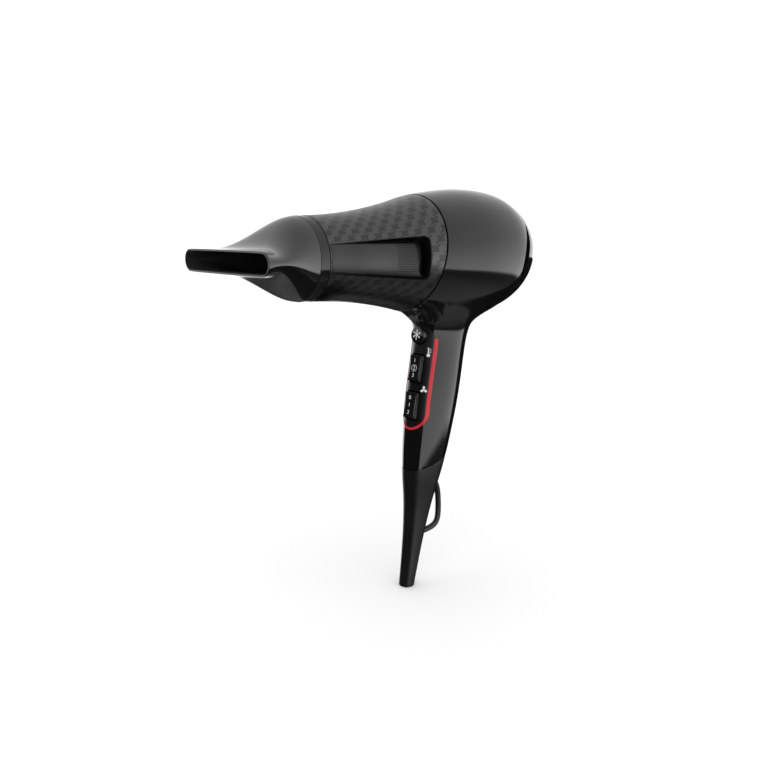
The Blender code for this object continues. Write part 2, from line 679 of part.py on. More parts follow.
def chassis():
    frame = box("switch_chassis", (-10.0, -9.2, -33), (-1.5, 9.2, 46), MATT_BLACK, HANDLE)
    combine(frame, box("chassis_channel", (-14, -8.0, -36), (-3.6, 8.0, 50), parent=HANDLE))
    board = box("circuit_board", (1.2, -8.5, -33), (2.8, 8.5, 34), BOARD_GREEN, HANDLE)
    for name, (y, z) in SCREW_SPOTS.items():
        holder = front_frame(name, z)
        hole = rod(name + "_hole", -8, 6, 1.8, steps=14, parent=holder)
        combine(frame, hole)
        combine(board, hole)
        screw = [(5.2, 0), (5.2, 2.9), (3.2, 2.9), (3.1, 1.4), (-2.8, 1.4), (-2.8, 0)]
        turned(name, screw, STEEL, holder, steps=14)


def cord_clamp():
    bar = box("cord_clamp", (-1.0, -8.5, CLAMP_Z - 3.2), (2.4, 8.5, CLAMP_Z + 2.8), MATT_BLACK, HANDLE)
    base = box("cord_clamp_base", (-12.2, -7.2, CLAMP_Z - 3.2), (-8.6, 7.2, CLAMP_Z + 2.8),
               MATT_BLACK, HANDLE)
    for name, y in (("clamp_screw_1", -5.0), ("clamp_screw_2", 5.0)):
        holder = bpy.data.objects.new(name + "_axis", None)
        holder.parent = HANDLE
        holder.location = Vector((0, y, CLAMP_Z)) * MM
        holder.rotation_euler = (0, math.pi / 2, 0)
        PARTS.objects.link(holder)
        hole = rod(name + "_hole", -20, 6, 1.6, steps=14, parent=holder)
        combine(bar, hole)
        combine(base, hole)
        screw = [(4.8, 0), (4.8, 2.4), (2.8, 2.4), (2.7, 1.25), (-11.8, 1.25), (-11.8, 0)]
        turned(name, screw, STEEL, holder, steps=14)


def lead_wires():
    """Leads from the circuit board up the back of the handle to the motor and the heater."""
    up = [(4.6, 24), (7.5, 36), (5.5, 50), (-1.0, 62)]
    for name, y, end, material in (
            ("motor_lead_red", 2.6, [(36, 5.6, -34), (31, 6.6, -25), (25.3, 7.5, -11)], WIRE_RED),
            ("motor_lead_blue", -2.6, [(36, -5.6, -34), (31, -6.6, -25), (25.3, -7.5, -11)],
             WIRE_BLUE),
            ("heater_lead_red", 0.9, [(36, 2.2, -34), (31, 2.3, -26), (15, 2.4, -14), (1, 2.4, -9)],
             WIRE_RED),
            ("heater_lead_blue", -0.9, [(36, -2.2, -34), (31, -2.3, -26), (15, -2.4, -14),
                                        (1, -2.4, -9)], WIRE_BLUE)):
        turn = Matrix.Rotation(HANDLE_ANGLE, 4, "Y")
        lower = [turn @ Vector((x, y * (1 + 0.9 * i / 3), z)) + Vector((HANDLE_X, 0, 0))
                 for i, (x, z) in enumerate(up)]
        upper = [Vector((x, side, z + AXIS_Z)) for x, side, z in end]
        wire(name, through(lower + upper, 2), 0.7, material, resolution=1)


# ---------------------------------------------------------------- cord guard

# The collar reaches up inside the handle; the bore narrows down to the cord (z, half depth, half width)
GUARD_COLLAR = [(-43, 16.0, 12.2), (-48, 15.6, 11.9), (-62, 12.9, 10.0)]
GUARD_BORE = [(-40, 14.2, 10.6), (-48, 13.8, 10.3), (-60, 10.5, 8.0), (-76, CORD_BORE_R, CORD_BORE_R),
              (-110, CORD_BORE_R, CORD_BORE_R), (-150, CORD_BORE_R, CORD_BORE_R)]
LOOP_R = 2.2
LOOP_ROUTE = [(30, 0, -57), (37.5, 0, -64), (43.0, 0, -69.5), (45.8, 0, -78), (46.4, 0, -88),
              (46.2, 0, -97), (43.8, 0, -103.6), (37, 0, -106.4), (29, 0, -106.4), (20, 0, -104.6)]


def cord_guard():
    guard = loft("cord_guard", handle_rings(0, GUARD_SECTIONS), SOFT_RUBBER)
    combine(guard, box("guard_top", (-50, -40, 0), (80, 40, 60), parent=empty_at(
        "guard_top_frame", (HANDLE_X + HANDLE_LEAN * SEAM_Z, 0, SEAM_Z - GAP / 2),
        -math.atan(SEAM_SLOPE))))
    combine(guard, loft("guard_collar", handle_rings(0, GUARD_COLLAR)), "UNION")
    combine(guard, loft("guard_bore", handle_rings(0, GUARD_BORE)))
    strap = solid_wire("hanging_loop", through(LOOP_ROUTE, 3), LOOP_R, SOFT_RUBBER)
    combine(strap, loft("loop_root", handle_rings(GAP, GUARD_SECTIONS)))


concentrator()
outlet()
sleeve()
side_vent("side_vent_left", -1)
side_vent("side_vent_right", 1)
housing()
rear_cover()
heater()
fan()
panel()
controls()
chassis()
cord_clamp()
lead_wires()
cord_guard()
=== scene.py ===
import json
import math

import bpy
from mathutils import Matrix, Vector


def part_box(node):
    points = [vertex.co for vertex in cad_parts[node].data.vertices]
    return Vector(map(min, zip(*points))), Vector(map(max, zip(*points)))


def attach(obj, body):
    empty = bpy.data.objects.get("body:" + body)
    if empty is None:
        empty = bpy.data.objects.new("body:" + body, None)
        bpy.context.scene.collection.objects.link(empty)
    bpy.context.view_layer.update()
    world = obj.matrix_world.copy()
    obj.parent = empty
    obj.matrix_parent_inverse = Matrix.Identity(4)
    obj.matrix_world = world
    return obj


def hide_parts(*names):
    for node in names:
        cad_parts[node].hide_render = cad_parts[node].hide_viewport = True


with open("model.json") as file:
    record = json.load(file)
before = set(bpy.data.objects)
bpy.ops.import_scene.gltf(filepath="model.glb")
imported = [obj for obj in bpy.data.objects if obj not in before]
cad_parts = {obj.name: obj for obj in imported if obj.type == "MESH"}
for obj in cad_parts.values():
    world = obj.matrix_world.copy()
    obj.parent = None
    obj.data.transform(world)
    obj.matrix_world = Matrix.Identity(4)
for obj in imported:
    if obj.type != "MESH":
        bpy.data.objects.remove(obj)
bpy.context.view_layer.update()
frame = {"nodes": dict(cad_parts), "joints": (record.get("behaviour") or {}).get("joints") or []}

# Travel hair dryer: gloss black shell, satin sleeve, slot concentrator.
# Lengths in the dictionaries are millimetres; mm turns them into metres.
mm = 0.001

nozzleLow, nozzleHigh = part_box("nozzle_shell")
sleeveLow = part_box("barrel_sleeve")[0]
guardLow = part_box("cord_guard")[0]
axisZ = (nozzleLow.z + nozzleHigh.z) / 2 / mm      # height of the barrel's axis
joints = {joint["name"]: joint for joint in frame["joints"]}

barrel = {
    "collarX": -84.1, "ringX": sleeveLow.x / mm, "shoulderX": 8.05, "widestX": 65.7, "rearX": 132.0,
    "ringRadius": 25.4, "shoulderRadius": 38.8, "bulbRadius": 45.0,
    "waist": 3.14, "domePower": 2.11,      # how far the sleeve draws in, how full the dome is
    "shoulderSlope": 0.168, "coverX": 94.3, "coverSlope": 0.33,      # the two slanted seams
}
handle = {"x": 39.2, "lean": 0.18, "seamZ": -49.35, "seamSlope": 0.3}
handleAngle = math.atan(handle["lean"])
handleFrame = Matrix.Translation((handle["x"] * mm, 0, 0)) @ Matrix.Rotation(handleAngle, 4, "Y")


# sRGB #rrggbb to the linear values that the shader wants
def hexColour(code):
    channels = [int(code[i:i + 2], 16) / 255 for i in (1, 3, 5)]
    return [c / 12.92 if c <= 0.04045 else ((c + 0.055) / 1.055) ** 2.4 for c in channels] + [1.0]


# one node with its own settings, its socket values and what feeds it
def addNode(tree, kind, settings=None, links=None):
    node = tree.nodes.new(kind)
    for key, value in (settings or {}).items():
        if hasattr(node, key):
            setattr(node, key, value)
        else:
            node.inputs[key].default_value = value
    for key, source in (links or {}).items():
        tree.links.new(source, node.inputs[key])
    return node


def newMaterial(name, shaderValues):
    material = bpy.data.materials.new(name)
    material.use_nodes = True
    tree = material.node_tree
    shader = tree.nodes["Principled BSDF"]
    for key, value in shaderValues.items():
        shader.inputs[key].default_value = value
    place = addNode(tree, "ShaderNodeTexCoord")
    return material, tree, shader, place.outputs["Object"]


def setRamp(ramp, stops):
    elements = ramp.color_ramp.elements
    while len(elements) < len(stops):
        elements.new(0.5)
    for element, (spot, colour) in zip(elements, stops):
        element.position = spot
        element.color = colour


# moulded texture: noise with grains of a real size, as a bump
def grainBump(tree, shader, place, grainMm, strength, distanceMm, detail=2.0):
    grain = addNode(tree, "ShaderNodeTexNoise",
                    {"Scale": 1 / (grainMm * mm), "Detail": detail, "Roughness": 0.55}, {"Vector": place})
    bump = addNode(tree, "ShaderNodeBump", {"Strength": strength, "Distance": distanceMm * mm},
                   {"Height": grain.outputs["Fac"]})
    tree.links.new(bump.outputs["Normal"], shader.inputs["Normal"])


# handling marks: roughness drifts between two values over patches of a real size
def roughnessPatches(tree, shader, place, patchMm, low, high):
    patches = addNode(tree, "ShaderNodeTexNoise",
                      {"Scale": 1 / (patchMm * mm), "Detail": 4.0, "Roughness": 0.6}, {"Vector": place})
    spread = addNode(tree, "ShaderNodeMapRange",
                     {"From Min": 0.3, "From Max": 0.7, "To Min": low, "To Max": high},
                     {"Value": patches.outputs["Fac"]})
    tree.links.new(spread.outputs["Result"], shader.inputs["Roughness"])


# colour that drifts between two close tones
def tintPatches(tree, shader, place, patchMm, darkHex, lightHex, stretch=(1, 1, 1)):
    mapping = addNode(tree, "ShaderNodeMapping", {"Scale": stretch}, {"Vector": place})
    patches = addNode(tree, "ShaderNodeTexNoise", {"Scale": 1 / (patchMm * mm), "Detail": 5.0},
                      {"Vector": mapping.outputs["Vector"]})
    ramp = addNode(tree, "ShaderNodeValToRGB", None, {"Fac": patches.outputs["Fac"]})
    setRamp(ramp, [(0.35, hexColour(darkHex)), (0.65, hexColour(lightHex))])
    tree.links.new(ramp.outputs["Color"], shader.inputs["Base Color"])


# a moulded or rolled finish: two close tones, a grain and the shader's own values
def simpleFinish(name, darkHex, lightHex, values, patchMm, grainMm, bumpMm, stretch=(1, 1, 1)):
    material, tree, shader, place = newMaterial(name, values)
    tintPatches(tree, shader, place, patchMm, darkHex, lightHex, stretch)
    grainBump(tree, shader, place, grainMm, 0.35, bumpMm)
    return material


# polished injection-moulded ABS: deep black, clear reflections, a faint moulding ripple
def glossBlackAbs():
    material, tree, shader, place = newMaterial("glossBlackAbs", {"IOR": 1.54, "Roughness": 0.08})
    tintPatches(tree, shader, place, 30, "#0b0b0c", "#0f0f10")
    roughnessPatches(tree, shader, place, 12, 0.07, 0.12)
    grainBump(tree, shader, place, 5, 0.05, 0.01, 1.0)
    return material


motif = {
    "pitch": 10.0, "row": 5.2, "radius": 31.0,      # along the barrel, round it, and where it is measured
    "blockU": 0.25, "blockV": 0.36, "toothU": 0.11, "toothLean": -0.8,
    "ground": "#565656", "figure": "#454545", "edge": (0.85, 1.1),
}


# ABS under a satin metallic lacquer: broad grey sheen, with a faint spray grain
def satinLacquer(name):
    material, tree, shader, place = newMaterial(name, {"Metallic": 1.0, "Roughness": 0.25})
    grainBump(tree, shader, place, 0.35, 0.25, 0.02)
    roughnessPatches(tree, shader, place, 20, 0.3, 0.38)
    return material, tree, shader, place


def satinSleevePlain():
    material, tree, shader, place = satinLacquer("satinSleevePlain")
    tintPatches(tree, shader, place, 25, "#404040", "#464646")
    return material


# the same lacquer with a tonal motif in a darker grey, staggered row by row
def satinSleeveMotif():
    material, tree, shader, place = satinLacquer("satinSleeveMotif")

    def mathNode(operation, first, second=None):
        node = addNode(tree, "ShaderNodeMath", {"operation": operation})
        for socket, value in zip(node.inputs, (first, second)):
            if isinstance(value, (int, float)):
                socket.default_value = value
            elif value is not None:
                tree.links.new(value, socket)
        return node.outputs[0]

    def awayFrom(value, halfSize):      # 0 in the middle, 1 at the edge
        return mathNode("MULTIPLY", mathNode("ABSOLUTE", value), 1 / halfSize)

    parts = addNode(tree, "ShaderNodeSeparateXYZ", None, {"Vector": place})
    height = mathNode("SUBTRACT", parts.outputs["Z"], axisZ * mm)
    angle = mathNode("ARCTAN2", parts.outputs["Y"], height)
    around = mathNode("MULTIPLY", angle, motif["radius"] / motif["row"])
    along = mathNode("MULTIPLY", parts.outputs["X"], 1 / (motif["pitch"] * mm))
    stagger = mathNode("MULTIPLY", mathNode("FLOOR", around), 0.5)
    u = mathNode("SUBTRACT", mathNode("FRACT", mathNode("ADD", along, stagger)), 0.5)
    v = mathNode("SUBTRACT", mathNode("FRACT", around), 0.5)
    block = mathNode("MAXIMUM", awayFrom(u, motif["blockU"]), awayFrom(v, motif["blockV"]))
    leaning = mathNode("ADD", u, mathNode("MULTIPLY", v, motif["toothLean"]))
    tooth = mathNode("MAXIMUM", awayFrom(leaning, motif["toothU"]), awayFrom(v, 0.5))
    edge = addNode(tree, "ShaderNodeMapRange",
                   {"interpolation_type": "SMOOTHSTEP", "From Min": motif["edge"][0],
                    "From Max": motif["edge"][1], "To Min": 1.0, "To Max": 0.0},
                   {"Value": mathNode("MINIMUM", block, tooth)})
    tone = addNode(tree, "ShaderNodeMix", {"data_type": "RGBA"}, {"Factor": edge.outputs["Result"]})
    colours = [socket for socket in tone.inputs if socket.type == "RGBA"]
    colours[0].default_value = hexColour(motif["ground"])
    colours[1].default_value = hexColour(motif["figure"])
    result = [socket for socket in tone.outputs if socket.type == "RGBA"][0]
    tree.links.new(result, shader.inputs["Base Color"])
    return material


# woven stainless wire: grey wires over holes painted near-black as the shade behind the screen, drawn as
# coarse as it needs to show
def wovenWireMesh():
    look = {"spacing": 1.2, "hole": "#050505", "wire": "#8a8a8a"}
    material, tree, shader, place = newMaterial("wovenWireMesh", {"Metallic": 1.0, "Roughness": 0.4})
    waves = [addNode(tree, "ShaderNodeTexWave",
                     {"bands_direction": axis, "Scale": 0.314 / (look["spacing"] * mm) / 2},
                     {"Vector": place}) for axis in ("Y", "Z")]
    both = addNode(tree, "ShaderNodeMath", {"operation": "MAXIMUM"})
    for socket, wave in zip(both.inputs, waves):
        tree.links.new(wave.outputs["Fac"], socket)
    ramp = addNode(tree, "ShaderNodeValToRGB", None, {"Fac": both.outputs[0]})
    setRamp(ramp, [(0.55, hexColour(look["hole"])), (0.75, hexColour(look["wire"]))])
    tree.links.new(ramp.outputs["Color"], shader.inputs["Base Color"])
    return material


# name, dark tone, light tone, shader values, patch, grain and bump in mm, stretch of the patches
materials = {
    "gloss": glossBlackAbs(),
    "sleeve": satinSleeveMotif(),
    "plainSatin": satinSleevePlain(),
    # spark-eroded nylon: even, slightly grey, soft highlights
    "nylon": simpleFinish("satinBlackNylon", "#0b0b0c", "#0f0f10", {"Roughness": 0.33, "IOR": 1.53},
                          8, 0.4, 0.02),
    # soft-touch rubber: darker, broad dull highlight
    "rubber": simpleFinish("softTouchRubber", "#0c0c0d", "#101012", {"Roughness": 0.34, "IOR": 1.52},
                           10, 0.5, 0.02),
    # black ABS vent frame and the floor behind the leaf: nearly no colour, darker than the shell's black as
    # painted shade in the slot, a narrow sheen on its rim
    "liner": simpleFinish("blackVentFrame", "#040404", "#060606", {"Roughness": 0.3, "IOR": 1.5},
                          10, 0.5, 0.01),
    # matt core side of a black moulding, darker than the shell's black: painted shade that swallows the
    # light inside the nozzle and behind the crescent slots
    "coreShadeBlack": simpleFinish("mattBlackLiner", "#020202", "#040404", {"Roughness": 0.85}, 10, 0.5, 0.01),
    # satin red lacquer over ABS: strong colour under a soft highlight
    "red": simpleFinish("redLacquer", "#b01426", "#be1b2e", {"Roughness": 0.28, "IOR": 1.5}, 6, 0.5, 0.01),
    # pad-printed white ink: flat and slightly grey
    "print": simpleFinish("padPrintedWhite", "#cfcfcf", "#dcdcdc", {"Roughness": 0.5}, 3, 0.3, 0.005),
    # phlogopite mica sheet: brown-gold flakes
    "mica": simpleFinish("micaSheet", "#8f7c5c", "#b39f7a", {"Roughness": 0.55}, 3, 0.8, 0.05),
    # enamelled copper windings: fine streaks along the wire
    "copper": simpleFinish("enamelledCopper", "#9c4f2c", "#b9663c", {"Metallic": 1.0, "Roughness": 0.35},
                           1.5, 0.6, 0.1, (1, 6, 6)),
    # zinc-plated pressed steel: pale, faintly drawn lengthways
    "steel": simpleFinish("zincPlatedSteel", "#8d8f92", "#a4a6a9", {"Metallic": 1.0, "Roughness": 0.33},
                          4, 0.4, 0.01, (1, 5, 5)),
    # oxidised nichrome ribbon: warm brown-grey, dull
    "nichrome": simpleFinish("oxidisedNichrome", "#5b5048", "#756a61", {"Metallic": 1.0, "Roughness": 0.45},
                             3, 0.4, 0.01),
    # sintered ferrite magnet: dark grey and chalky
    "ferrite": simpleFinish("sinteredFerrite", "#232325", "#2d2d30", {"Roughness": 0.7}, 2, 0.3, 0.02),
    # solder resist on a circuit board: glossy green skin over weave
    "board": simpleFinish("solderResistGreen", "#14401f", "#1b5228", {"Roughness": 0.4}, 2, 0.7, 0.04),
    # extruded silicone insulation: plain strong colour, soft sheen
    "redWire": simpleFinish("redSilicone", "#8c1418", "#9c1b1e", {"Roughness": 0.45}, 4, 0.4, 0.01),
    "blueWire": simpleFinish("blueSilicone", "#16306e", "#1c3b80", {"Roughness": 0.45}, 4, 0.4, 0.01),
    "wireMesh": wovenWireMesh(),
}
print("materials made")


def deselectAll():
    for item in bpy.context.selected_objects:
        item.select_set(False)


def makeActive(item):
    deselectAll()
    item.select_set(True)
    bpy.context.view_layer.objects.active = item


def startEdit(item, mode="VERT"):
    makeActive(item)
    kinds = ("VERT", "EDGE", "FACE")
    bpy.context.scene.tool_settings.mesh_select_mode = [mode == kind for kind in kinds]
    bpy.ops.object.mode_set(mode="EDIT")


def endEdit():
    bpy.ops.object.mode_set(mode="OBJECT")


# select only the vertices, edges or polygons that pass a test
def pick(item, kind, test):
    for group in (item.data.vertices, item.data.edges, item.data.polygons):
        for element in group:
            element.select = False
    for element in getattr(item.data, kind):
        element.select = test(element)


def applyModifier(item, kind, **settings):
    makeActive(item)
    step = item.modifiers.new(kind.lower(), kind)
    for key, value in settings.items():
        setattr(step, key, value)
    bpy.ops.object.modifier_apply(modifier=step.name)
    return item


def subdivideSmooth(item, levels=3):
    return applyModifier(item, "SUBSURF", levels=levels, render_levels=levels)


def bevelEdges(item, widthMm, segments, angle=50, **settings):
    return applyModifier(item, "BEVEL", width=widthMm * mm, segments=segments, limit_method="ANGLE",
                         angle_limit=math.radians(angle), **settings)


def giveWall(item, wallMm, offset=-1.0, **settings):
    return applyModifier(item, "SOLIDIFY", thickness=wallMm * mm, offset=offset, **settings)


def cutWith(item, tool, operation="DIFFERENCE"):
    applyModifier(item, "BOOLEAN", operation=operation, object=tool, solver="EXACT")
    bpy.data.objects.remove(tool, do_unlink=True)
    return item


def copyOf(item, name):
    twin = item.copy()
    twin.data = item.data.copy()
    twin.name = name
    bpy.context.scene.collection.objects.link(twin)
    return twin


# bake the place into the mesh, so that the object stands at the origin, unturned
def fixPlace(item, matrix=None):
    item.data.transform((matrix or Matrix.Identity(4)) @ item.matrix_world)
    item.matrix_world = Matrix.Identity(4)
    return item


def placeAt(item, matrix):
    item.matrix_world = matrix
    bpy.context.view_layer.update()
    return fixPlace(item)


def outward(item):
    startEdit(item)
    bpy.ops.mesh.select_all(action="SELECT")
    bpy.ops.mesh.remove_doubles(threshold=0.000001)
    bpy.ops.mesh.normals_make_consistent(inside=False)
    endEdit()
    return item


def joinPieces(items, name):
    deselectAll()
    for item in items:
        item.select_set(True)
    bpy.context.view_layer.objects.active = items[0]
    bpy.ops.object.join()
    items[0].name = name
    return items[0]


def finishPiece(item, name, material, body, replaced=()):
    item.name = name
    item.data.name = name
    makeActive(item)
    bpy.ops.object.shade_smooth_by_angle(angle=math.radians(32))
    if not item.data.materials:
        item.data.materials.append(materials[material])
    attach(item, body)
    if replaced:
        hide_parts(*replaced)
    return item


# a bare circle standing across the barrel
def ringAt(name, x, radius, sides):
    deselectAll()
    bpy.ops.mesh.primitive_circle_add(vertices=sides, radius=radius * mm, fill_type="NOTHING",
                                      location=(x * mm, 0, axisZ * mm), rotation=(0, math.pi / 2, 0))
    item = bpy.context.active_object
    item.name = name
    return fixPlace(item)


# extrude a circle from station to station, resizing it to each radius
def latheAlong(name, profile, sides=96, close=False):
    item = ringAt(name, profile[0][0], profile[0][1], sides)
    startEdit(item, "EDGE")
    bpy.ops.mesh.select_all(action="SELECT")
    for (x0, r0), (x1, r1) in zip(profile, profile[1:]):
        bpy.ops.mesh.extrude_region_move(TRANSFORM_OT_translate={"value": ((x1 - x0) * mm, 0, 0)})
        bpy.ops.transform.resize(value=(1, r1 / r0, r1 / r0), center_override=(x1 * mm, 0, axisZ * mm))
    if close:
        bpy.ops.mesh.select_all(action="SELECT")
        bpy.ops.mesh.region_to_loop()
        bpy.ops.mesh.bridge_edge_loops()
    endEdit()
    return outward(item)


# a closed tube between an outer and an inner row of (x, radius) points
def tubeBetween(name, outer, inner, sides=128):
    return latheAlong(name, list(outer) + list(reversed(list(inner))), sides, close=True)


# cut on a plane and drop what lies ahead of it, only above a height if one is given
def bisectAt(item, point, normal, aboveZ=None):
    pick(item, "polygons", lambda face: aboveZ is None or face.center.z > aboveZ * mm)
    startEdit(item, "FACE")
    bpy.ops.mesh.bisect(plane_co=Vector(point) * mm, plane_no=Vector(normal).normalized(),
                        clear_outer=True, threshold=0.000001)
    endEdit()
    return item


# a box between two corners, its edges rounded
def boxTool(name, low, high, bevelMm=0.0, matrix=None, segments=4):
    low, high = Vector(low) * mm, Vector(high) * mm
    deselectAll()
    bpy.ops.mesh.primitive_cube_add(size=1, location=(low + high) / 2)
    item = bpy.context.active_object
    item.name = name
    item.scale = high - low
    bpy.context.view_layer.update()
    fixPlace(item)
    if bevelMm:
        startEdit(item, "EDGE")
        bpy.ops.mesh.select_all(action="SELECT")
        bpy.ops.mesh.bevel(offset=bevelMm * mm, segments=segments, affect="EDGES")
        endEdit()
    if matrix:
        fixPlace(item, matrix)
    return item


# push a flat (x, height) outline along Y, filled from its edges
def outlinePrism(name, outline, halfWidth):
    mesh = bpy.data.meshes.new(name)
    mesh.from_pydata([(x * mm, -halfWidth * mm, (z + axisZ) * mm) for x, z in outline], [],
                     [list(range(len(outline)))])
    item = bpy.data.objects.new(name, mesh)
    bpy.context.scene.collection.objects.link(item)
    startEdit(item, "FACE")
    bpy.ops.mesh.select_all(action="SELECT")
    bpy.ops.mesh.extrude_region_move(TRANSFORM_OT_translate={"value": (0, 2 * halfWidth * mm, 0)})
    endEdit()
    return outward(item)


# a round rod through a few points, as a mesh
def rodAlong(name, path, radiusMm, roundness, smooth=False):
    curve = bpy.data.curves.new(name, "CURVE")
    curve.dimensions = "3D"
    curve.bevel_depth = radiusMm * mm
    curve.bevel_resolution = roundness
    curve.use_fill_caps = True
    if smooth:
        curve.resolution_u = 10
    spline = curve.splines.new("NURBS" if smooth else "POLY")
    spline.points.add(len(path) - 1)
    for knot, point in zip(spline.points, path):
        knot.co = (*point, 1.0)
    if smooth:
        spline.use_endpoint_u = True
        spline.order_u = 4
    item = bpy.data.objects.new(name, curve)
    bpy.context.scene.collection.objects.link(item)
    makeActive(item)
    bpy.ops.object.convert(target="MESH")
    return outward(bpy.context.active_object)


# outer radius of sleeve and bulb at a station
def barrelRadius(x):
    b = barrel
    if x <= b["shoulderX"]:
        t = (x - b["collarX"]) / (b["shoulderX"] - b["collarX"])
        return b["ringRadius"] + (b["shoulderRadius"] - b["ringRadius"]) * t - 4 * b["waist"] * t * (1 - t)
    if x <= b["widestX"]:
        t = (x - b["shoulderX"]) / (b["widestX"] - b["shoulderX"])
        return b["shoulderRadius"] + (b["bulbRadius"] - b["shoulderRadius"]) * (1 - (1 - t) ** 2)
    t = min((x - b["widestX"]) / (b["rearX"] - b["widestX"]), 1.0)
    return b["bulbRadius"] * (1 - t ** b["domePower"]) ** (1 / b["domePower"])


# cage values whose smoothed surface passes through the wanted ones
def throughPoints(wanted):
    cage = list(wanted)
    for _ in range(40):
        for i in range(1, len(cage) - 1):
            cage[i] += wanted[i] - (cage[i - 1] + 4 * cage[i] + cage[i + 1]) / 6
    return cage


# how much larger a ring of so many points has to be, since smoothing pulls it in
def ringSwell(count):
    return 6 / (4 + 2 * math.cos(2 * math.pi / count))


def smoothStep(t):
    return t * t * (3 - 2 * t)


nozzle = {"sides": 24, "wall": 1.1, "mouthHalfWidth": 42.0, "mouthHalfHeight": 6.7,
          "lipX": nozzleLow.x / mm, "collarX": barrel["collarX"] - 0.25,
          "stations": 9, "flatBy": 0.82, "ease": 0.15, "lipRound": 0.3}


def buildNozzle():
    item = ringAt("nozzle", nozzle["collarX"], barrel["ringRadius"], nozzle["sides"])
    turn = math.pi / nozzle["sides"]      # so that no point stands on the middle plane
    centreZ = axisZ * mm
    item.data.transform(Matrix.Translation((0, 0, centreZ)) @ Matrix.Rotation(turn, 4, "X")
                        @ Matrix.Translation((0, 0, -centreZ)))
    length = nozzle["lipX"] - nozzle["collarX"]
    swell = ringSwell(nozzle["sides"])
    startEdit(item)
    bpy.ops.mesh.select_all(action="SELECT")
    bpy.ops.transform.resize(value=(1, swell, swell), center_override=(0, 0, centreZ))
    endEdit()
    angles = {(round(v.co.y, 6), round(v.co.z, 6)): math.atan2(v.co.y, v.co.z - centreZ)
              for v in item.data.vertices}
    lastX = nozzle["collarX"]
    for step in range(1, nozzle["stations"] + 1):
        t = step / nozzle["stations"]
        widen = (1 - nozzle["ease"]) * t + nozzle["ease"] * smoothStep(t)
        flatten = smoothStep(min(1.0, t / nozzle["flatBy"]))
        high = barrel["ringRadius"] + (nozzle["mouthHalfHeight"] - barrel["ringRadius"]) * flatten
        wide = barrel["ringRadius"] + (nozzle["mouthHalfWidth"] - barrel["ringRadius"]) * widen
        x = nozzle["collarX"] + length * t
        startEdit(item, "EDGE")
        bpy.ops.mesh.extrude_region_move(TRANSFORM_OT_translate={"value": ((x - lastX) * mm, 0, 0)})
        endEdit()
        fresh = {}
        for vertex in item.data.vertices:      # from an oval at the neck to a round-ended slot
            if abs(vertex.co.x - x * mm) < 1e-6:
                angle = angles[(round(vertex.co.y, 6), round(vertex.co.z, 6))]
                oval = wide * math.sin(angle)
                slot = math.copysign(max(wide - high, 0), angle) + high * math.sin(angle)
                vertex.co.y = (oval + (slot - oval) * t * t) * swell * mm
                vertex.co.z = centreZ + high * math.cos(angle) * swell * mm
                fresh[(round(vertex.co.y, 6), round(vertex.co.z, 6))] = angle
        angles, lastX = fresh, x
    outward(item)
    subdivideSmooth(item)
    item.data.materials.append(materials["gloss"])
    item.data.materials.append(materials["coreShadeBlack"])      # the unpolished core side of the moulding, in a darker black that is painted shade inside the nozzle
    giveWall(item, nozzle["wall"], material_offset=1)
    bevelEdges(item, nozzle["lipRound"], 3, material=0)
    outward(item)
    finishPiece(item, "concentratorNozzle", "gloss", "nozzle", ["nozzle_shell"])


outletRing = {"grooves": 5, "firstGroove": 0.7, "pitch": 1.15, "grooveWidth": 0.4, "grooveDepth": 0.2,
              "spigotRadius": 22.1, "spigotLength": 4.5, "boreFront": 20.7, "boreRear": 21.4}


def buildOutletRing():
    ring, radius = outletRing, barrel["ringRadius"]
    x0, x1 = barrel["collarX"] + 0.05, barrel["ringX"] - 0.25
    tipX, half = x0 - ring["spigotLength"], ring["grooveWidth"] / 2
    profile = [(x1, radius - 2.4), (x1, radius - 0.25), (x1 - 0.3, radius)]
    for i in range(ring["grooves"]):      # fine turned lines round the ring
        x = x1 - ring["firstGroove"] - ring["pitch"] * i
        profile += [(x, radius), (x - half, radius - ring["grooveDepth"]), (x - 2 * half, radius)]
    profile += [(x0 + 0.3, radius), (x0, radius - 0.3), (x0, ring["spigotRadius"]),
                (tipX + 0.3, ring["spigotRadius"]), (tipX, ring["spigotRadius"] - 0.3),
                (tipX, ring["boreFront"]), (x1, ring["boreRear"])]
    item = latheAlong("ring", profile, 128, close=True)
    finishPiece(item, "outletRing", "gloss", "main_body", ["outlet_ring"])


vent = {
    "frontX": -76.2, "rearX": -3.2, "topFront": 8.8, "topRear": 13.0, "lowFront": -7.6, "lowRear": -14.0,
    "corner": 3.4, "frame": 0.5, "frameGap": 0.06, "arcSteps": 6,      # the window and its frame
    "depth": 6.0, "rampPower": 1.2, "leafEndX": -8.2, "leafWall": 0.9, "edgeGap": 0.12, "sillShare": 0.15,
    "slitStartX": -59.0, "slitDrop": 3.3,      # the leaf's upper edge drops away from the window
    "columns": 24, "rows": 14,
    "fins": 17, "finLength": 17.0, "finOverhang": 1.3, "finRadius": 0.22, "finSteps": 6,
    "pocketStations": 17, "pocketDepth": 3.2,
}


# upper and lower edge heights of the vent at a station
def ventEdge(x, grow=0.0):
    t = (x - vent["frontX"]) / (vent["rearX"] - vent["frontX"])
    top = vent["topFront"] + (vent["topRear"] - vent["topFront"]) * t + grow
    low = vent["lowFront"] + (vent["lowRear"] - vent["lowFront"]) * t - grow
    return top, low


# the vent's outline as (x, height), with rounded rear corners
def ventOutline(grow):
    r = vent["corner"] + grow
    rear, front = vent["rearX"] + grow, vent["frontX"] - grow
    top, low = ventEdge(rear, grow)
    points = list(zip((front, front), ventEdge(front, grow)))
    for centreZ, start in ((low + r, -math.pi / 2), (top - r, 0)):
        for i in range(vent["arcSteps"] + 1):
            a = start + math.pi / 2 * i / vent["arcSteps"]
            points.append((rear - r + r * math.cos(a), centreZ + r * math.sin(a)))
    return points


sleeve = {"stations": 26, "rearX": 17.0, "gap": 0.7, "wall": 2.0}


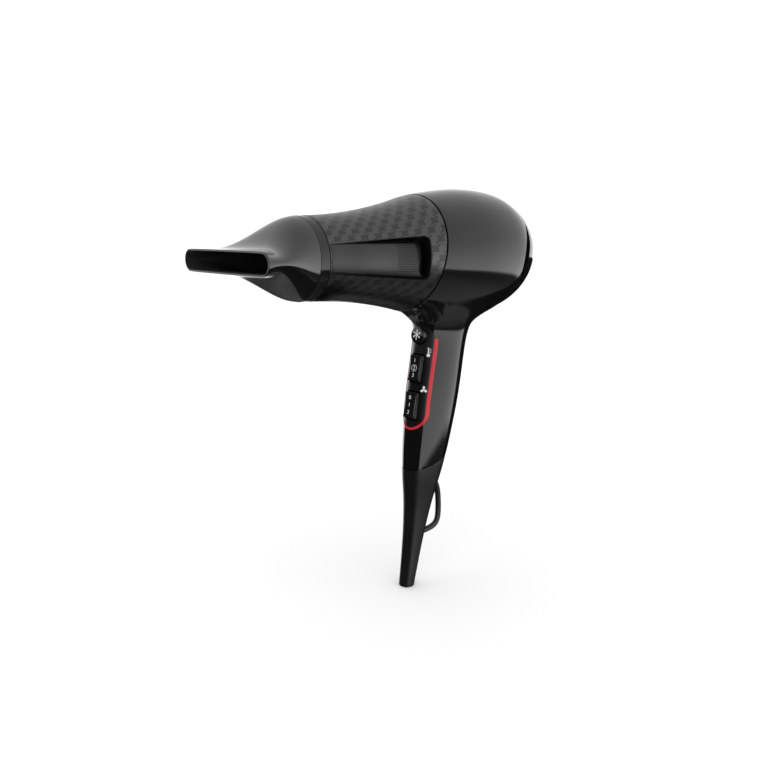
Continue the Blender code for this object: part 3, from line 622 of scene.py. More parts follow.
def buildSleeve():
    first, last, count = barrel["ringX"], sleeve["rearX"], sleeve["stations"]
    stations = [first + (last - first) * i / count for i in range(count + 1)]
    item = latheAlong("sleeve", [(x, barrelRadius(x)) for x in stations], 160)
    bisectAt(item, (barrel["shoulderX"] - sleeve["gap"], 0, axisZ), (1, 0, -barrel["shoulderSlope"]))
    giveWall(item, sleeve["wall"])
    bevelEdges(item, 0.45, 3)
    cutWith(item, outlinePrism("ventWindow", ventOutline(vent["frame"]), 60))
    finishPiece(item, "barrelSleeve", "sleeve", "main_body", ["barrel_sleeve"])


def leafDepth(x):
    t = max(0.0, (x - vent["frontX"]) / (vent["rearX"] - vent["frontX"]))
    return 0.15 + vent["depth"] * t ** vent["rampPower"]


def slitShare(x):
    return max(0.0, (x - vent["slitStartX"]) / (vent["leafEndX"] - vent["slitStartX"]))


# a point on the ramp, sunk under the barrel's skin and a little deeper at its top
def leafPoint(side, x, z, share, lift=0.0):
    radius = barrelRadius(x) - leafDepth(x) * (0.55 + 0.45 * share) + lift
    return Vector((x, side * math.sqrt(radius ** 2 - z * z), z + axisZ)) * mm


# turn an open sheet's faces to the outside of the barrel
def outwardOpen(item, side):
    if sum(face.normal.y for face in item.data.polygons) * side < 0:
        item.data.flip_normals()
    item.data.update()


# a ramp leaf in the window, with fins at its deep end
def buildVent(side, label):
    deselectAll()
    bpy.ops.mesh.primitive_grid_add(x_subdivisions=vent["columns"], y_subdivisions=vent["rows"], size=1)
    leaf = bpy.context.active_object
    startX = vent["frontX"] + 0.2
    for vertex in leaf.data.vertices:
        along, up = vertex.co.x + 0.5, vertex.co.y + 0.5
        sill = max(0.0, (vent["sillShare"] - up) / vent["sillShare"])      # it runs on under the slot
        endX = vent["leafEndX"] + (vent["rearX"] - vent["leafEndX"] - 0.3) * min(1.0, 3 * sill)
        x = startX + (endX - startX) * along
        top, low = ventEdge(x, -vent["edgeGap"])
        top -= vent["slitDrop"] * slitShare(x)
        vertex.co = leafPoint(side, x, low + (top - low) * up, up)
    outwardOpen(leaf, side)
    giveWall(leaf, vent["leafWall"])
    bevelEdges(leaf, 0.2, 2)
    finishPiece(leaf, f"ventLeaf{label}", "plainSatin", "main_body",
                [f"side_vent_{label.lower()}"])
    fins = []      # thin ribs that run off the leaf's rear edge into the slot
    startX, endX = vent["leafEndX"] - vent["finLength"], vent["leafEndX"] + vent["finOverhang"]
    for i in range(vent["fins"]):
        share = 0.16 + 0.82 * (i + 0.5) / vent["fins"]
        path = []
        for j in range(vent["finSteps"] + 1):
            x = startX + (endX - startX) * j / vent["finSteps"]
            top, low = ventEdge(x, -vent["edgeGap"])
            top -= vent["slitDrop"] * min(1.0, slitShare(x))
            lift = -0.12 + 0.3 * j / vent["finSteps"]
            path.append(leafPoint(side, x, low + (top - low) * share, share, lift))
        fins.append(rodAlong(f"fin{i}", path, vent["finRadius"], 1))
    fin = joinPieces(fins, f"ventFins{label}")
    finishPiece(fin, f"ventFins{label}", "plainSatin", "main_body")


# both pockets: a thin frame round each window and a dark floor behind the leaf, whose near-black tone is
# painted shade
def buildVentPockets():
    last = vent["pocketStations"] - 1
    length = vent["rearX"] - vent["frontX"] + 5
    stations = [vent["frontX"] - 2 + length * i / last for i in range(last + 1)]
    floor = [(x, barrelRadius(x) - leafDepth(x) - vent["pocketDepth"]) for x in stations]
    rim = [(x, barrelRadius(x) - 0.12) for x in stations]
    block = tubeBetween("pocket", rim, [(x, r - 1.0) for x, r in floor])
    cutWith(block, outlinePrism("around", ventOutline(vent["frame"] - vent["frameGap"]), 60), "INTERSECT")
    hollow = tubeBetween("hollow", [(x, r + 8) for x, r in rim], floor)
    cutWith(hollow, outlinePrism("within", ventOutline(0.0), 70), "INTERSECT")
    cutWith(block, hollow)
    for label, side in (("Left", -1), ("Right", 1)):
        pocket = copyOf(block, "ventPocket" + label)
        bisectAt(pocket, (0, 0, 0), (0, -side, 0))
        finishPiece(pocket, "ventPocket" + label, "liner", "main_body")
    bpy.data.objects.remove(block, do_unlink=True)


handleSections = [      # height, half depth, half width, backward shift
    (-70, 14.4, 11.7, 0), (-48, 18.2, 14.5, 0), (-36, 19.3, 15.5, 0), (-24, 20.3, 16.3, 0),
    (-10, 21.4, 17.2, 0), (8, 21.8, 17.5, 0), (24, 21.5, 17.2, 0), (36, 21.3, 17.1, 0),
    (46, 22.4, 18.0, 0), (52, 25.2, 20.0, 0.6)]
housing = {
    "sides": 20, "stations": [-4, 6, 19, 40, 61, 82, 96, 108, 117],      # the bulb's cage
    "holeFrom": 2, "holeTo": 5, "holeHalfAngle": 36,      # the hole in its belly, between two stations
    "levels": [52.5, 47, 40, 28, 10, -8, -26, -44, -62],      # rings of the handle drawn out of it
    "wall": 2.2, "partingGap": 0.04,
}


# half depth, half width and the rest of a row at a height
def sectionAt(z, rows):
    for low, high in zip(rows, rows[1:]):
        if z <= high[0]:
            t = (z - low[0]) / (high[0] - low[0])
            return [a + (b - a) * t for a, b in zip(low[1:], high[1:])]
    return list(rows[-1][1:])


# the outer skin of both halves: a ringed cage with a hole in its belly, and the handle drawn out of it
def buildSkin():
    radii = throughPoints([barrelRadius(x) for x in housing["stations"]])
    places = throughPoints(housing["stations"])
    swell = ringSwell(housing["sides"])
    skin = latheAlong("skin", [(x, r * swell) for x, r in zip(places, radii)], housing["sides"])
    firstX, lastX = places[housing["holeFrom"]] * mm, places[housing["holeTo"]] * mm
    belly = math.radians(housing["holeHalfAngle"])
    pick(skin, "polygons", lambda face: firstX < face.center.x < lastX
         and math.atan2(abs(face.center.y), axisZ * mm - face.center.z) < belly)
    startEdit(skin, "FACE")
    bpy.ops.mesh.delete(type="FACE")
    endEdit()
    faceCount = {}
    for face in skin.data.polygons:
        for key in face.edge_keys:
            faceCount[key] = faceCount.get(key, 0) + 1
    vertices = skin.data.vertices
    frontX, rearX = min(v.co.x for v in vertices), max(v.co.x for v in vertices)
    pick(skin, "edges", lambda edge: faceCount[edge.key] == 1 and all(
        frontX + 1e-4 < vertices[i].co.x < rearX - 1e-4 for i in edge.vertices))
    for edge in skin.data.edges:
        if edge.select:
            for index in edge.vertices:
                vertices[index].select = True
    for z in housing["levels"]:
        startEdit(skin, "EDGE")
        bpy.ops.mesh.extrude_edges_move()
        endEdit()
        ring = [v for v in skin.data.vertices if v.select]
        middle = sum(v.co.x for v in ring) / len(ring)
        ring.sort(key=lambda v: math.atan2(v.co.y, middle - v.co.x))
        front = min((i for i, v in enumerate(ring) if v.co.x <= middle), key=lambda i: abs(ring[i].co.y))
        halfDepth, halfWidth, shift = sectionAt(z, handleSections)
        swell = ringSwell(len(ring))
        for i, vertex in enumerate(ring):
            a = 2 * math.pi * (i - front) / len(ring)
            x = handle["x"] + handle["lean"] * z + shift - halfDepth * swell * math.cos(a)
            vertex.co = Vector((x, halfWidth * swell * math.sin(a), z)) * mm
    outward(skin)
    subdivideSmooth(skin)
    bisectAt(skin, (barrel["shoulderX"] + 0.5, 0, axisZ), (-1, 0, barrel["shoulderSlope"]))
    bisectAt(skin, (barrel["coverX"] - 0.12, 0, axisZ), (1, 0, -barrel["coverSlope"]), aboveZ=30)
    seamX = handle["x"] + handle["lean"] * handle["seamZ"]
    bisectAt(skin, (seamX, 0, handle["seamZ"] + 0.1), (handle["seamSlope"], 0, -1))
    return skin


crescent = {"halfLength": 19.5, "halfWidth": 4.0, "steps": 16, "x": barrel["coverX"] - 1.0, "up": 2.5,
            "backOverlap": 2.0, "backOuter": 2.8, "backInner": 3.4, "backFrom": 70, "backTo": 120}


# a lens-shaped prism along the rear cover's seam
def crescentTool(grow=0.0):
    halfLength, halfWidth = crescent["halfLength"] + grow, crescent["halfWidth"] + grow
    tilt = math.atan(barrel["coverSlope"])
    outline = []
    for side in (1, -1):
        for i in range(crescent["steps"]):
            t = side * (1 - 2 * i / crescent["steps"])
            x, z = side * halfWidth * (1 - t * t), t * halfLength
            outline.append((crescent["x"] + x * math.cos(tilt) + z * math.sin(tilt),
                            crescent["up"] - x * math.sin(tilt) + z * math.cos(tilt)))
    return outlinePrism("crescent", outline, 70)


panel = {
    "halfWidth": 10.35, "trimInner": 10.65, "trimOuter": 12.35, "roundZ": -12.0, "topZ": 41.6,
    "openingGap": 0.1, "trimGap": 0.08, "wall": 2.0, "trimWall": 1.8, "trimProud": 0.35, "trimRound": 0.4,
    "toolFrontX": -20, "toolRearX": 38,      # what the cutting shapes reach through
    "windowHalfWidth": 6.1, "windowHalfHeight": 10.6, "windowRound": 1.0,
    "windowFrontX": -30, "windowRearX": -8, "buttonHole": 6.6,
}


# a tongue prism through the handle's front: a disc whose upper half is drawn upwards
def uprightTongue(name, halfWidth, topZ=panel["topZ"], flatTop=False, longer=0):
    lowZ, startX = panel["roundZ"], panel["toolFrontX"] - longer
    deselectAll()
    bpy.ops.mesh.primitive_circle_add(vertices=64, radius=halfWidth * mm, fill_type="NGON",
                                      location=(startX * mm, 0, lowZ * mm), rotation=(0, math.pi / 2, 0))
    item = bpy.context.active_object
    item.name = name
    fixPlace(item)
    for vertex in item.data.vertices:
        if vertex.co.z > lowZ * mm - 1e-7:
            vertex.co.z = topZ * mm if flatTop else vertex.co.z + (topZ - lowZ) * mm
    startEdit(item, "FACE")
    bpy.ops.mesh.select_all(action="SELECT")
    depth = (panel["toolRearX"] + longer - startX) * mm
    bpy.ops.mesh.extrude_region_move(TRANSFORM_OT_translate={"value": (depth, 0, 0)})
    endEdit()
    return outward(item)


def buildHousing(skin):
    for label, side in (("Left", -1), ("Right", 1)):
        half = copyOf(skin, "housing" + label)
        bisectAt(half, (0, side * housing["partingGap"], 0), (0, -side, 0))
        giveWall(half, housing["wall"])
        bevelEdges(half, 0.3, 2)
        cutWith(half, uprightTongue("trimOpening", panel["trimOuter"] + panel["trimGap"], flatTop=True))
        cutWith(half, uprightTongue("panelOpening", panel["halfWidth"] + panel["openingGap"]))
        cutWith(half, crescentTool())
        finishPiece(half, "housing" + label, "gloss", "main_body",
                    ["housing_" + label.lower()])


cover = {"stations": 22, "fromAngle": 8, "toAngle": 88.2, "wall": 2.2,
         "slotSpacing": 4.2, "halfSlot": 1.05, "reach": 27.0, "slotRound": 0.9,
         "slotFromX": 100, "slotToX": 140}


def buildRearCover():
    length, power = barrel["rearX"] - barrel["widestX"], 2 / barrel["domePower"]
    first, last = math.radians(cover["fromAngle"]), math.radians(cover["toAngle"])
    profile = []
    for i in range(cover["stations"] + 1):
        angle = first + (last - first) * i / cover["stations"]
        profile.append((barrel["widestX"] + length * math.sin(angle) ** power,
                        barrel["bulbRadius"] * math.cos(angle) ** power))
    item = latheAlong("cover", profile, 144)
    poleX = max(v.co.x for v in item.data.vertices)
    pick(item, "vertices", lambda vertex: vertex.co.x > poleX - 1e-6)
    startEdit(item)
    bpy.ops.mesh.merge(type="CENTER")
    endEdit()
    bisectAt(item, (barrel["coverX"] + 0.12, 0, axisZ), (-1, 0, barrel["coverSlope"]))
    giveWall(item, cover["wall"])
    cutWith(item, crescentTool())
    rows = int(cover["reach"] / cover["slotSpacing"])
    for i in range(-rows, rows + 1):
        z, half = cover["slotSpacing"] * i, cover["halfSlot"]
        halfY = math.sqrt(cover["reach"] ** 2 - z * z)
        cutWith(item, boxTool("slot", (cover["slotFromX"], -halfY, axisZ + z - half),
                              (cover["slotToX"], halfY, axisZ + z + half), cover["slotRound"], segments=3))
    finishPiece(item, "rearCover", "gloss", "rear_cover", ["rear_cover"])


# a dark band behind each crescent slot, a painted shade sheet, so that no light falls through
def buildCrescentShadeBand():
    first, last = crescent["backFrom"], crescent["backTo"]
    stations = [first + (last - first) * i / 20 for i in range(21)]
    band = tubeBetween("band", [(x, barrelRadius(x) - crescent["backOuter"]) for x in stations],
                       [(x, barrelRadius(x) - crescent["backInner"]) for x in stations])
    cutWith(band, crescentTool(crescent["backOverlap"]), "INTERSECT")
    finishPiece(band, "crescentBack", "coreShadeBlack", "main_body")


def pivotOf(jointName):      # a joint's place in the handle's own frame, in millimetres
    return handleFrame.inverted() @ Vector(joints[jointName]["pos_m"]) / mm


def buildPanel(skin):
    plate = copyOf(skin, "panelPlate")
    giveWall(plate, panel["wall"])
    cutWith(plate, uprightTongue("panelShape", panel["halfWidth"]), "INTERSECT")
    halfWidth, halfHeight = panel["windowHalfWidth"], panel["windowHalfHeight"]
    for joint in ("heat_rock", "speed_rock"):
        z = pivotOf(joint).z
        cutWith(plate, boxTool("window", (panel["windowFrontX"], -halfWidth, z - halfHeight),
                               (panel["windowRearX"], halfWidth, z + halfHeight),
                               panel["windowRound"], handleFrame))
    low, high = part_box("cool_shot_button")
    deselectAll()
    bpy.ops.mesh.primitive_cylinder_add(vertices=64, radius=panel["buttonHole"] * mm, depth=30 * mm,
                                        location=(low + high) / 2,
                                        rotation=(0, math.pi / 2 + handleAngle, 0))
    cutWith(plate, fixPlace(bpy.context.active_object))
    finishPiece(plate, "controlPanel", "nylon", "main_body", ["control_panel"])
    return plate


# a U of red strip round the panel, proud of the skin
def buildTrim(skin):
    band = copyOf(skin, "trimBand")
    giveWall(band, panel["trimWall"], offset=-1 + 2 * panel["trimProud"] / panel["trimWall"])
    endRadius = (panel["trimOuter"] - panel["trimInner"]) / 2
    endZ = panel["topZ"] - endRadius
    shape = uprightTongue("bandShape", panel["trimOuter"], endZ, flatTop=True)
    cutWith(shape, uprightTongue("bandCore", panel["trimInner"], endZ + 5, flatTop=True, longer=2))
    for side in (-1, 1):      # both ends of the strip are round
        deselectAll()
        bpy.ops.mesh.primitive_cylinder_add(
            vertices=32, radius=endRadius * mm, depth=(panel["toolRearX"] - panel["toolFrontX"]) * mm,
            location=(9 * mm, side * (panel["trimInner"] + endRadius) * mm, endZ * mm),
            rotation=(0, math.pi / 2, 0))
        cutWith(shape, fixPlace(bpy.context.active_object), "UNION")
    cutWith(band, shape, "INTERSECT")
    bevelEdges(band, panel["trimRound"], 3)
    band.visible_glossy = False      # no red line mirrored in the bulb above it
    finishPiece(band, "redTrimStrip", "red", "main_body", ["trim_strip"])


# turns a flat sheet to face the front
facing = Matrix(((0, 0, -1, 0), (-1, 0, 0, 0), (0, 1, 0, 0), (0, 0, 0, 1)))


def onHandle(x, y, z):
    return handleFrame @ Matrix.Translation(Vector((x, y, z)) * mm) @ facing


# a plain figure as a thin raised print
def figurePiece(body, sizeMm, matrix):
    deselectAll()
    bpy.ops.object.text_add()
    item = bpy.context.active_object
    item.data.body = body
    item.data.size = sizeMm * mm
    item.data.extrude = 0.04 * mm
    item.data.align_x = "CENTER"
    item.data.align_y = "CENTER"
    item.data.resolution_u = 4
    bpy.ops.object.convert(target="MESH")
    item = bpy.context.active_object
    item.name = "figure"
    return outward(placeAt(item, matrix))


rocker = {"faceX": -22.5, "rootX": -15.2, "halfLength": 9.3, "halfWidth": 5.5, "dish": 0.8, "round": 1.1,
          "ridgeY": (-5.0, -3.6), "ridgeHalfLength": 8.0, "ridgeProud": 0.5, "ridgeDepth": 3.0,
          "ridgeRound": 0.6,
          "figureSize": 4.0, "figureSpacing": 5.4, "figureY": 1.2, "ringRadius": 2.3, "ringWire": 0.16}


def buildRocker(jointName, label, body, figures, ringed):
    pivotZ = pivotOf(jointName).z
    face, halfLength, halfWidth = rocker["faceX"], rocker["halfLength"], rocker["halfWidth"]
    key = boxTool("key", (face, -halfWidth, pivotZ - halfLength),
                  (rocker["rootX"], halfWidth, pivotZ + halfLength))
    startEdit(key, "EDGE")
    bpy.ops.mesh.select_all(action="SELECT")
    bpy.ops.mesh.subdivide(number_cuts=6)
    endEdit()
    for vertex in key.data.vertices:      # dish the face along its length
        if vertex.co.x < (face + 0.01) * mm:
            t = (vertex.co.z / mm - pivotZ) / halfLength
            vertex.co.x += rocker["dish"] * (1 - t * t) * mm
    bevelEdges(key, rocker["round"], 4)
    fixPlace(key, handleFrame)
    outward(key)
    finishPiece(key, f"{label}Rocker", "nylon", body, [body])
    ridgeX, ridgeHalf = face - rocker["ridgeProud"], rocker["ridgeHalfLength"]
    ridge = boxTool("ridge", (ridgeX, rocker["ridgeY"][0], pivotZ - ridgeHalf),
                    (ridgeX + rocker["ridgeDepth"], rocker["ridgeY"][1], pivotZ + ridgeHalf),
                    rocker["ridgeRound"], handleFrame)
    finishPiece(ridge, f"{label}RockerRidge", "gloss", body)
    prints = []
    for i, figure in enumerate(figures):
        z = pivotZ + rocker["figureSpacing"] * (1 - i)
        t = (z - pivotZ) / halfLength
        seat = onHandle(face + rocker["dish"] * (1 - t * t) - 0.04, rocker["figureY"], z)
        tilt = Matrix.Rotation(math.atan(2 * rocker["dish"] * t / halfLength), 4, "X")      # on the dish
        prints.append(figurePiece(figure, rocker["figureSize"], seat @ tilt))
        if ringed == figure:
            deselectAll()
            bpy.ops.mesh.primitive_torus_add(
                major_radius=rocker["ringRadius"] * mm, minor_radius=rocker["ringWire"] * mm,
                major_segments=32, minor_segments=6)
            prints.append(placeAt(bpy.context.active_object, seat))
    joined = joinPieces(prints, f"{label}Figures")
    finishPiece(joined, f"{label}Figures", "print", body)


coolShot = {"height": 40.0, "x": -20.6, "radius": 6.2, "length": 7.4,
            "domeSteps": ((1.2, 0.45), (1.6, 0.2)),      # inset and rise of each step
            "flakeReach": 3.7, "flakeHalfWidth": 0.3, "flakeLift": 0.68,
            "twigAt": 2.5, "twigLength": 0.9, "twigLean": 0.9}


def buildCoolShot():
    look = coolShot
    deselectAll()
    bpy.ops.mesh.primitive_cylinder_add(vertices=64, radius=look["radius"] * mm, depth=look["length"] * mm)
    item = bpy.context.active_object
    pick(item, "polygons", lambda face: face.normal.z > 0.9)
    startEdit(item, "FACE")
    for thickness, rise in look["domeSteps"]:
        bpy.ops.mesh.inset(thickness=thickness * mm)
        bpy.ops.transform.translate(value=(0, 0, rise * mm))
    endEdit()
    bevelEdges(item, 0.4, 3, angle=25)
    outward(placeAt(item, onHandle(look["x"], 0, look["height"])))
    finishPiece(item, "coolShotButton", "gloss", "cool_shot", ["cool_shot_button"])
    reach, half = look["flakeReach"], look["flakeHalfWidth"]
    arms = []
    for i in range(3):
        arm = boxTool("arm", (-reach, -half, -0.05), (reach, half, 0.05))
        arm.data.transform(Matrix.Rotation(math.pi / 3 * i + math.pi / 6, 4, "Z"))
        arms.append(arm)
    for i in range(6):
        for lean in (1, -1):
            twig = boxTool("twig", (0, -0.2, -0.05), (look["twigLength"], 0.2, 0.05))
            twig.data.transform(Matrix.Rotation(math.pi / 3 * i + math.pi / 6, 4, "Z")
                                @ Matrix.Translation((look["twigAt"] * mm, 0, 0))
                                @ Matrix.Rotation(lean * look["twigLean"], 4, "Z"))
            arms.append(twig)
    flake = joinPieces(arms, "snowflake")
    placeAt(flake, onHandle(look["x"] - look["length"] / 2 - look["flakeLift"], 0, look["height"]))
    finishPiece(flake, "coolShotSnowflake", "print", "cool_shot")


# where a level line from the front meets a piece, as a frame that faces outwards there
def seatOn(target, y, z):
    _, spot, normal, _ = target.ray_cast(Vector((-0.1, y * mm, z * mm)), Vector((1, 0, 0)))
    up = (Vector((0, 0, 1)) - normal * normal.z).normalized()
    basis = Matrix((up.cross(normal), up, normal)).transposed().to_4x4()
    return Matrix.Translation(spot + normal * 0.03 * mm) @ basis


def discAt(name, x, y, radius):
    deselectAll()
    bpy.ops.mesh.primitive_cylinder_add(vertices=24, radius=radius * mm, depth=0.08 * mm,
                                        location=(x * mm, y * mm, 0))
    item = bpy.context.active_object
    item.name = name
    return fixPlace(item)


icons = {"heatY": -7.9, "heatZ": 31.0, "heatScale": 1.35, "fanY": -8.1, "fanZ": 5.2, "fanScale": 1.15,
         "ticks": 3, "blades": 3}


# plain pictograms: a thermometer by the heat key, a fan by the speed key
def buildIcons(plate):
    parts = [boxTool("stem", (-0.35, -0.4, -0.04), (0.35, 2.4, 0.04)), discAt("bulb", 0, -1.1, 0.95),
             discAt("cap", 0, 2.4, 0.5)]
    for i in range(icons["ticks"]):
        parts.append(boxTool("tick", (0.7, 0.3 + 0.8 * i, -0.04), (1.5, 0.55 + 0.8 * i, 0.04)))
    heat = joinPieces(parts, "thermometer")
    placeAt(heat, seatOn(plate, icons["heatY"], icons["heatZ"]) @ Matrix.Scale(icons["heatScale"], 4))
    finishPiece(heat, "thermometerIcon", "print", "main_body")
    blades = [discAt("hub", 0, 0, 0.45)]
    for i in range(icons["blades"]):
        blade = discAt("blade", 0, 1.35, 0.95)
        turn = Matrix.Rotation(2 * math.pi * i / icons["blades"], 4, "Z")
        blade.data.transform(turn @ Matrix.Diagonal((0.8, 1, 1, 1)))
        blades.append(blade)
    fan = joinPieces(blades, "fan")
    placeAt(fan, seatOn(plate, icons["fanY"], icons["fanZ"]) @ Matrix.Scale(icons["fanScale"], 4))
    finishPiece(fan, "fanIcon", "print", "main_body")


guardSections = [      # height, half depth, half width; the top ones follow the handle
    (-146, 5.6, 5.6), (-144.5, 5.7, 5.7), (-130, 6.4, 6.4), (-116, 7.3, 7.1), (-100, 8.8, 8.1),
    (-86, 10.6, 9.4), (-74, 12.7, 10.8), (-64, 15.2, 12.4), (-56, 16.8, 13.4), (-44, 18.6, 14.8)]
guard = {"sides": 24, "levels": [-40, -50, -58, -66, -76, -88, -102, -118, -132, -144.5], "wall": 1.9,
         "edgeRound": 0.5}


def buildGuard():
    deselectAll()
    bpy.ops.mesh.primitive_circle_add(vertices=guard["sides"], radius=1, fill_type="NOTHING")
    item = bpy.context.active_object
    item.name = "guard"
    startEdit(item, "EDGE")
    bpy.ops.mesh.select_all(action="SELECT")
    size, place = (1.0, 1.0), Vector((0, 0, 0))
    swell = ringSwell(guard["sides"]) * mm
    for i, z in enumerate(guard["levels"]):
        halfDepth, halfWidth = sectionAt(z, guardSections)
        spot = Vector((handle["x"] + handle["lean"] * z, 0, z)) * mm
        target = (halfDepth * swell, halfWidth * swell)
        if i:
            bpy.ops.mesh.extrude_region_move(TRANSFORM_OT_translate={"value": spot - place})
        else:
            bpy.ops.transform.translate(value=spot - place)
        bpy.ops.transform.resize(value=(target[0] / size[0], target[1] / size[1], 1), center_override=spot)
        size, place = target, spot
    endEdit()
    fixPlace(item)
    outward(item)
    subdivideSmooth(item)
    seamX = handle["x"] + handle["lean"] * handle["seamZ"]
    bisectAt(item, (seamX, 0, handle["seamZ"] - 0.1), (-handle["seamSlope"], 0, 1))
    giveWall(item, guard["wall"])
    bevelEdges(item, guard["edgeRound"], 3)
    finishPiece(item, "cordGuard", "rubber", "main_body", ["cord_guard"])


loop = {"radius": 2.2, "route": [(32, -58), (39, -64.6), (44, -71), (46.8, -79), (47.6, -88), (47.8, -97),
                                 (46.4, -104.6), (39, -107.4), (29, -107), (21, -106)]}


def buildLoop():
    route = [(x * mm, 0, z * mm) for x, z in loop["route"]]
    item = rodAlong("loop", route, loop["radius"], 6, smooth=True)
    finishPiece(item, "hangingLoop", "rubber", "main_body", ["hanging_loop"])


buildNozzle()
buildOutletRing()
print("nozzle and outlet ring made")
buildSleeve()
for side, label in ((-1, "Left"), (1, "Right")):
    buildVent(side, label)
buildVentPockets()
print("sleeve and vents made")
skin = buildSkin()
buildHousing(skin)
plate = buildPanel(skin)
buildTrim(skin)
buildRearCover()
buildCrescentShadeBand()
print("housing, panel, trim and rear cover made")
buildRocker("heat_rock", "heat", "heat_rocker", ["1", "2", "3"], "2")
buildRocker("speed_rock", "speed", "speed_rocker", ["0", "1", "2"], None)
buildCoolShot()
buildIcons(plate)
bpy.data.objects.remove(skin, do_unlink=True)
print("keys, button and prints made")
buildGuard()
buildLoop()
print("cord guard and hanging loop made")

nodeFinish = {      # the CAD nodes that stay, by finish
    "nylon": ["nozzle_snap_ring", "outlet_grille", "fan_duct", "motor_end_cap", "impeller",
              "cool_shot_switch", "heat_switch_body", "speed_switch_body", "switch_chassis",
              "cord_clamp", "cord_clamp_base"],
    "rubber": ["motor_mount"],
    "mica": ["mica_board_upright", "mica_board_level", "heat_shield"],
    "copper": ["armature"],
    "steel": ["thermostat", "thermal_fuse", "motor_can", "motor_shaft", "cool_shot_spring", "board_screw_1",
              "board_screw_2", "clamp_screw_1", "clamp_screw_2"],
    "nichrome": ["heating_coil"],
    "ferrite": ["magnet_ring"],
    "board": ["circuit_board"],
    "redWire": ["motor_lead_red", "heater_lead_red"],
    "blueWire": ["motor_lead_blue", "heater_lead_blue"],
    "wireMesh": ["filter_screen"],
}
for finish, nodeNames in nodeFinish.items():
    for nodeName in nodeNames:
        node = frame["nodes"][nodeName]
        node.data.materials.clear()
        node.data.materials.append(materials[finish])
print("CAD nodes finished")


def buildFloor():
    floor = {"z": guardLow.z - 0.0005, "radius": 6, "dark": "#f4f4f4", "light": "#f7f7f7"}
    deselectAll()
    bpy.ops.mesh.primitive_circle_add(vertices=96, radius=floor["radius"], fill_type="NGON",
                                      location=(0, 0, floor["z"]))
    item = bpy.context.active_object
    item.name = "floor"
    material, tree, shader, place = newMaterial("paleFloor", {"Roughness": 0.9})
    tintPatches(tree, shader, place, 400, floor["dark"], floor["light"])
    item.data.materials.append(material)
    item.visible_glossy = False      # the lower half of the shell mirrors the dark studio, not the floor


studio = {
    "plain": 1.2,      # what lights the floor and stands behind it
    # what the shell mirrors, from straight down to straight up: dark underneath, bright from the horizon on
    "mirrored": [(0.0, 0.32), (0.17, 0.24), (0.26, 0.08), (0.31, 0.07), (0.33, 2.0), (0.42, 1.8),
                 (0.52, 1.45), (0.64, 1.1), (0.8, 0.9), (0.94, 0.85), (1.0, 0.8)],
}


def buildLight():
    world = bpy.data.worlds.new("studio")
    bpy.context.scene.world = world
    world.use_nodes = True
    tree = world.node_tree
    backdrop = tree.nodes["Background"]
    place = addNode(tree, "ShaderNodeTexCoord")
    parts = addNode(tree, "ShaderNodeSeparateXYZ", None, {"Vector": place.outputs["Generated"]})
    height = addNode(tree, "ShaderNodeMapRange", {"From Min": -1.0, "From Max": 1.0},
                     {"Value": parts.outputs["Z"]})
    ramp = addNode(tree, "ShaderNodeValToRGB", None, {"Fac": height.outputs["Result"]})
    setRamp(ramp, [(spot, (level, level, level, 1)) for spot, level in studio["mirrored"]])
    path = addNode(tree, "ShaderNodeLightPath")
    either = addNode(tree, "ShaderNodeMix", {"data_type": "RGBA"}, {"Factor": path.outputs["Is Glossy Ray"]})
    colours = [socket for socket in either.inputs if socket.type == "RGBA"]
    colours[0].default_value = (studio["plain"], studio["plain"], studio["plain"], 1)
    tree.links.new(ramp.outputs["Color"], colours[1])
    result = [socket for socket in either.outputs if socket.type == "RGBA"][0]
    tree.links.new(result, backdrop.inputs["Color"])
    backdrop.inputs["Strength"].default_value = 1.0


cards = {"radius": 0.085, "low": -0.17, "high": 0.052, "steps": 40,      # metres, round the handle
         "curved": {"frontCard": (107, 219), "rearCard": (-26, 42)},      # degrees
         "backPlace": (0.19, 0.10, -0.04), "backSize": (0.26, 0.31)}


def onlyMirrored(item):
    item.visible_camera = False
    item.visible_diffuse = False
    item.visible_shadow = False
    item.visible_transmission = False


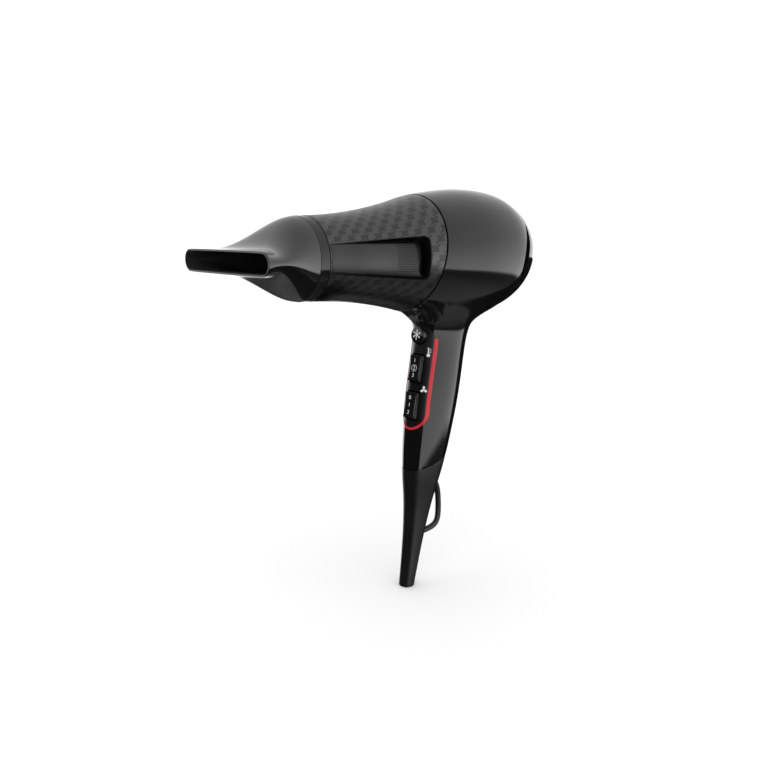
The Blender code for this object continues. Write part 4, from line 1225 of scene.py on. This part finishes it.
# an upright card curved round the handle
def buildCard(name, startDeg, endDeg, material):
    points = []
    for i in range(cards["steps"] + 1):
        angle = math.radians(startDeg + (endDeg - startDeg) * i / cards["steps"])
        points.append((handle["x"] * mm + cards["radius"] * math.cos(angle),
                       cards["radius"] * math.sin(angle), cards["low"]))
    mesh = bpy.data.meshes.new(name)
    mesh.from_pydata(points, [(i, i + 1) for i in range(cards["steps"])], [])
    item = bpy.data.objects.new(name, mesh)
    bpy.context.scene.collection.objects.link(item)
    startEdit(item, "EDGE")
    bpy.ops.mesh.select_all(action="SELECT")
    rise = cards["high"] - cards["low"]
    bpy.ops.mesh.extrude_region_move(TRANSFORM_OT_translate={"value": (0, 0, rise)})
    endEdit()
    item.data.materials.append(material)
    onlyMirrored(item)


# dark cards that only reflections see: they keep the handle's edges black
def buildCards():
    velvet = simpleFinish("blackVelvetCard", "#020202", "#050505", {"Roughness": 1.0}, 20, 1, 0.1)
    for name, (startDeg, endDeg) in cards["curved"].items():
        buildCard(name, startDeg, endDeg, velvet)
    deselectAll()
    bpy.ops.mesh.primitive_plane_add(size=1, location=cards["backPlace"], rotation=(0, math.pi / 2, 0))
    back = bpy.context.active_object
    back.name = "backCard"
    back.scale = (*cards["backSize"], 1)
    back.data.materials.append(velvet)
    onlyMirrored(back)


view = {"place": (-0.34727, -0.34672, 0.11886), "target": (-0.01048, 0.0, 0.01369), "lens": 33.86,
        "shiftY": -0.0013, "sensor": 36.0, "nearest": 0.01}


def buildCamera():
    camera = bpy.data.objects.new("camera", bpy.data.cameras.new("camera"))
    bpy.context.scene.collection.objects.link(camera)
    camera.location = view["place"]
    aim = Vector(view["target"]) - camera.location
    camera.rotation_euler = aim.to_track_quat("-Z", "Y").to_euler()
    camera.data.lens = view["lens"]
    camera.data.shift_y = view["shiftY"]
    camera.data.sensor_width = view["sensor"]
    camera.data.clip_start = view["nearest"]
    bpy.context.scene.camera = camera


buildFloor()
buildLight()
buildCards()
buildCamera()
bpy.context.scene.view_settings.view_transform = "Standard"
print("stage, light and camera made")
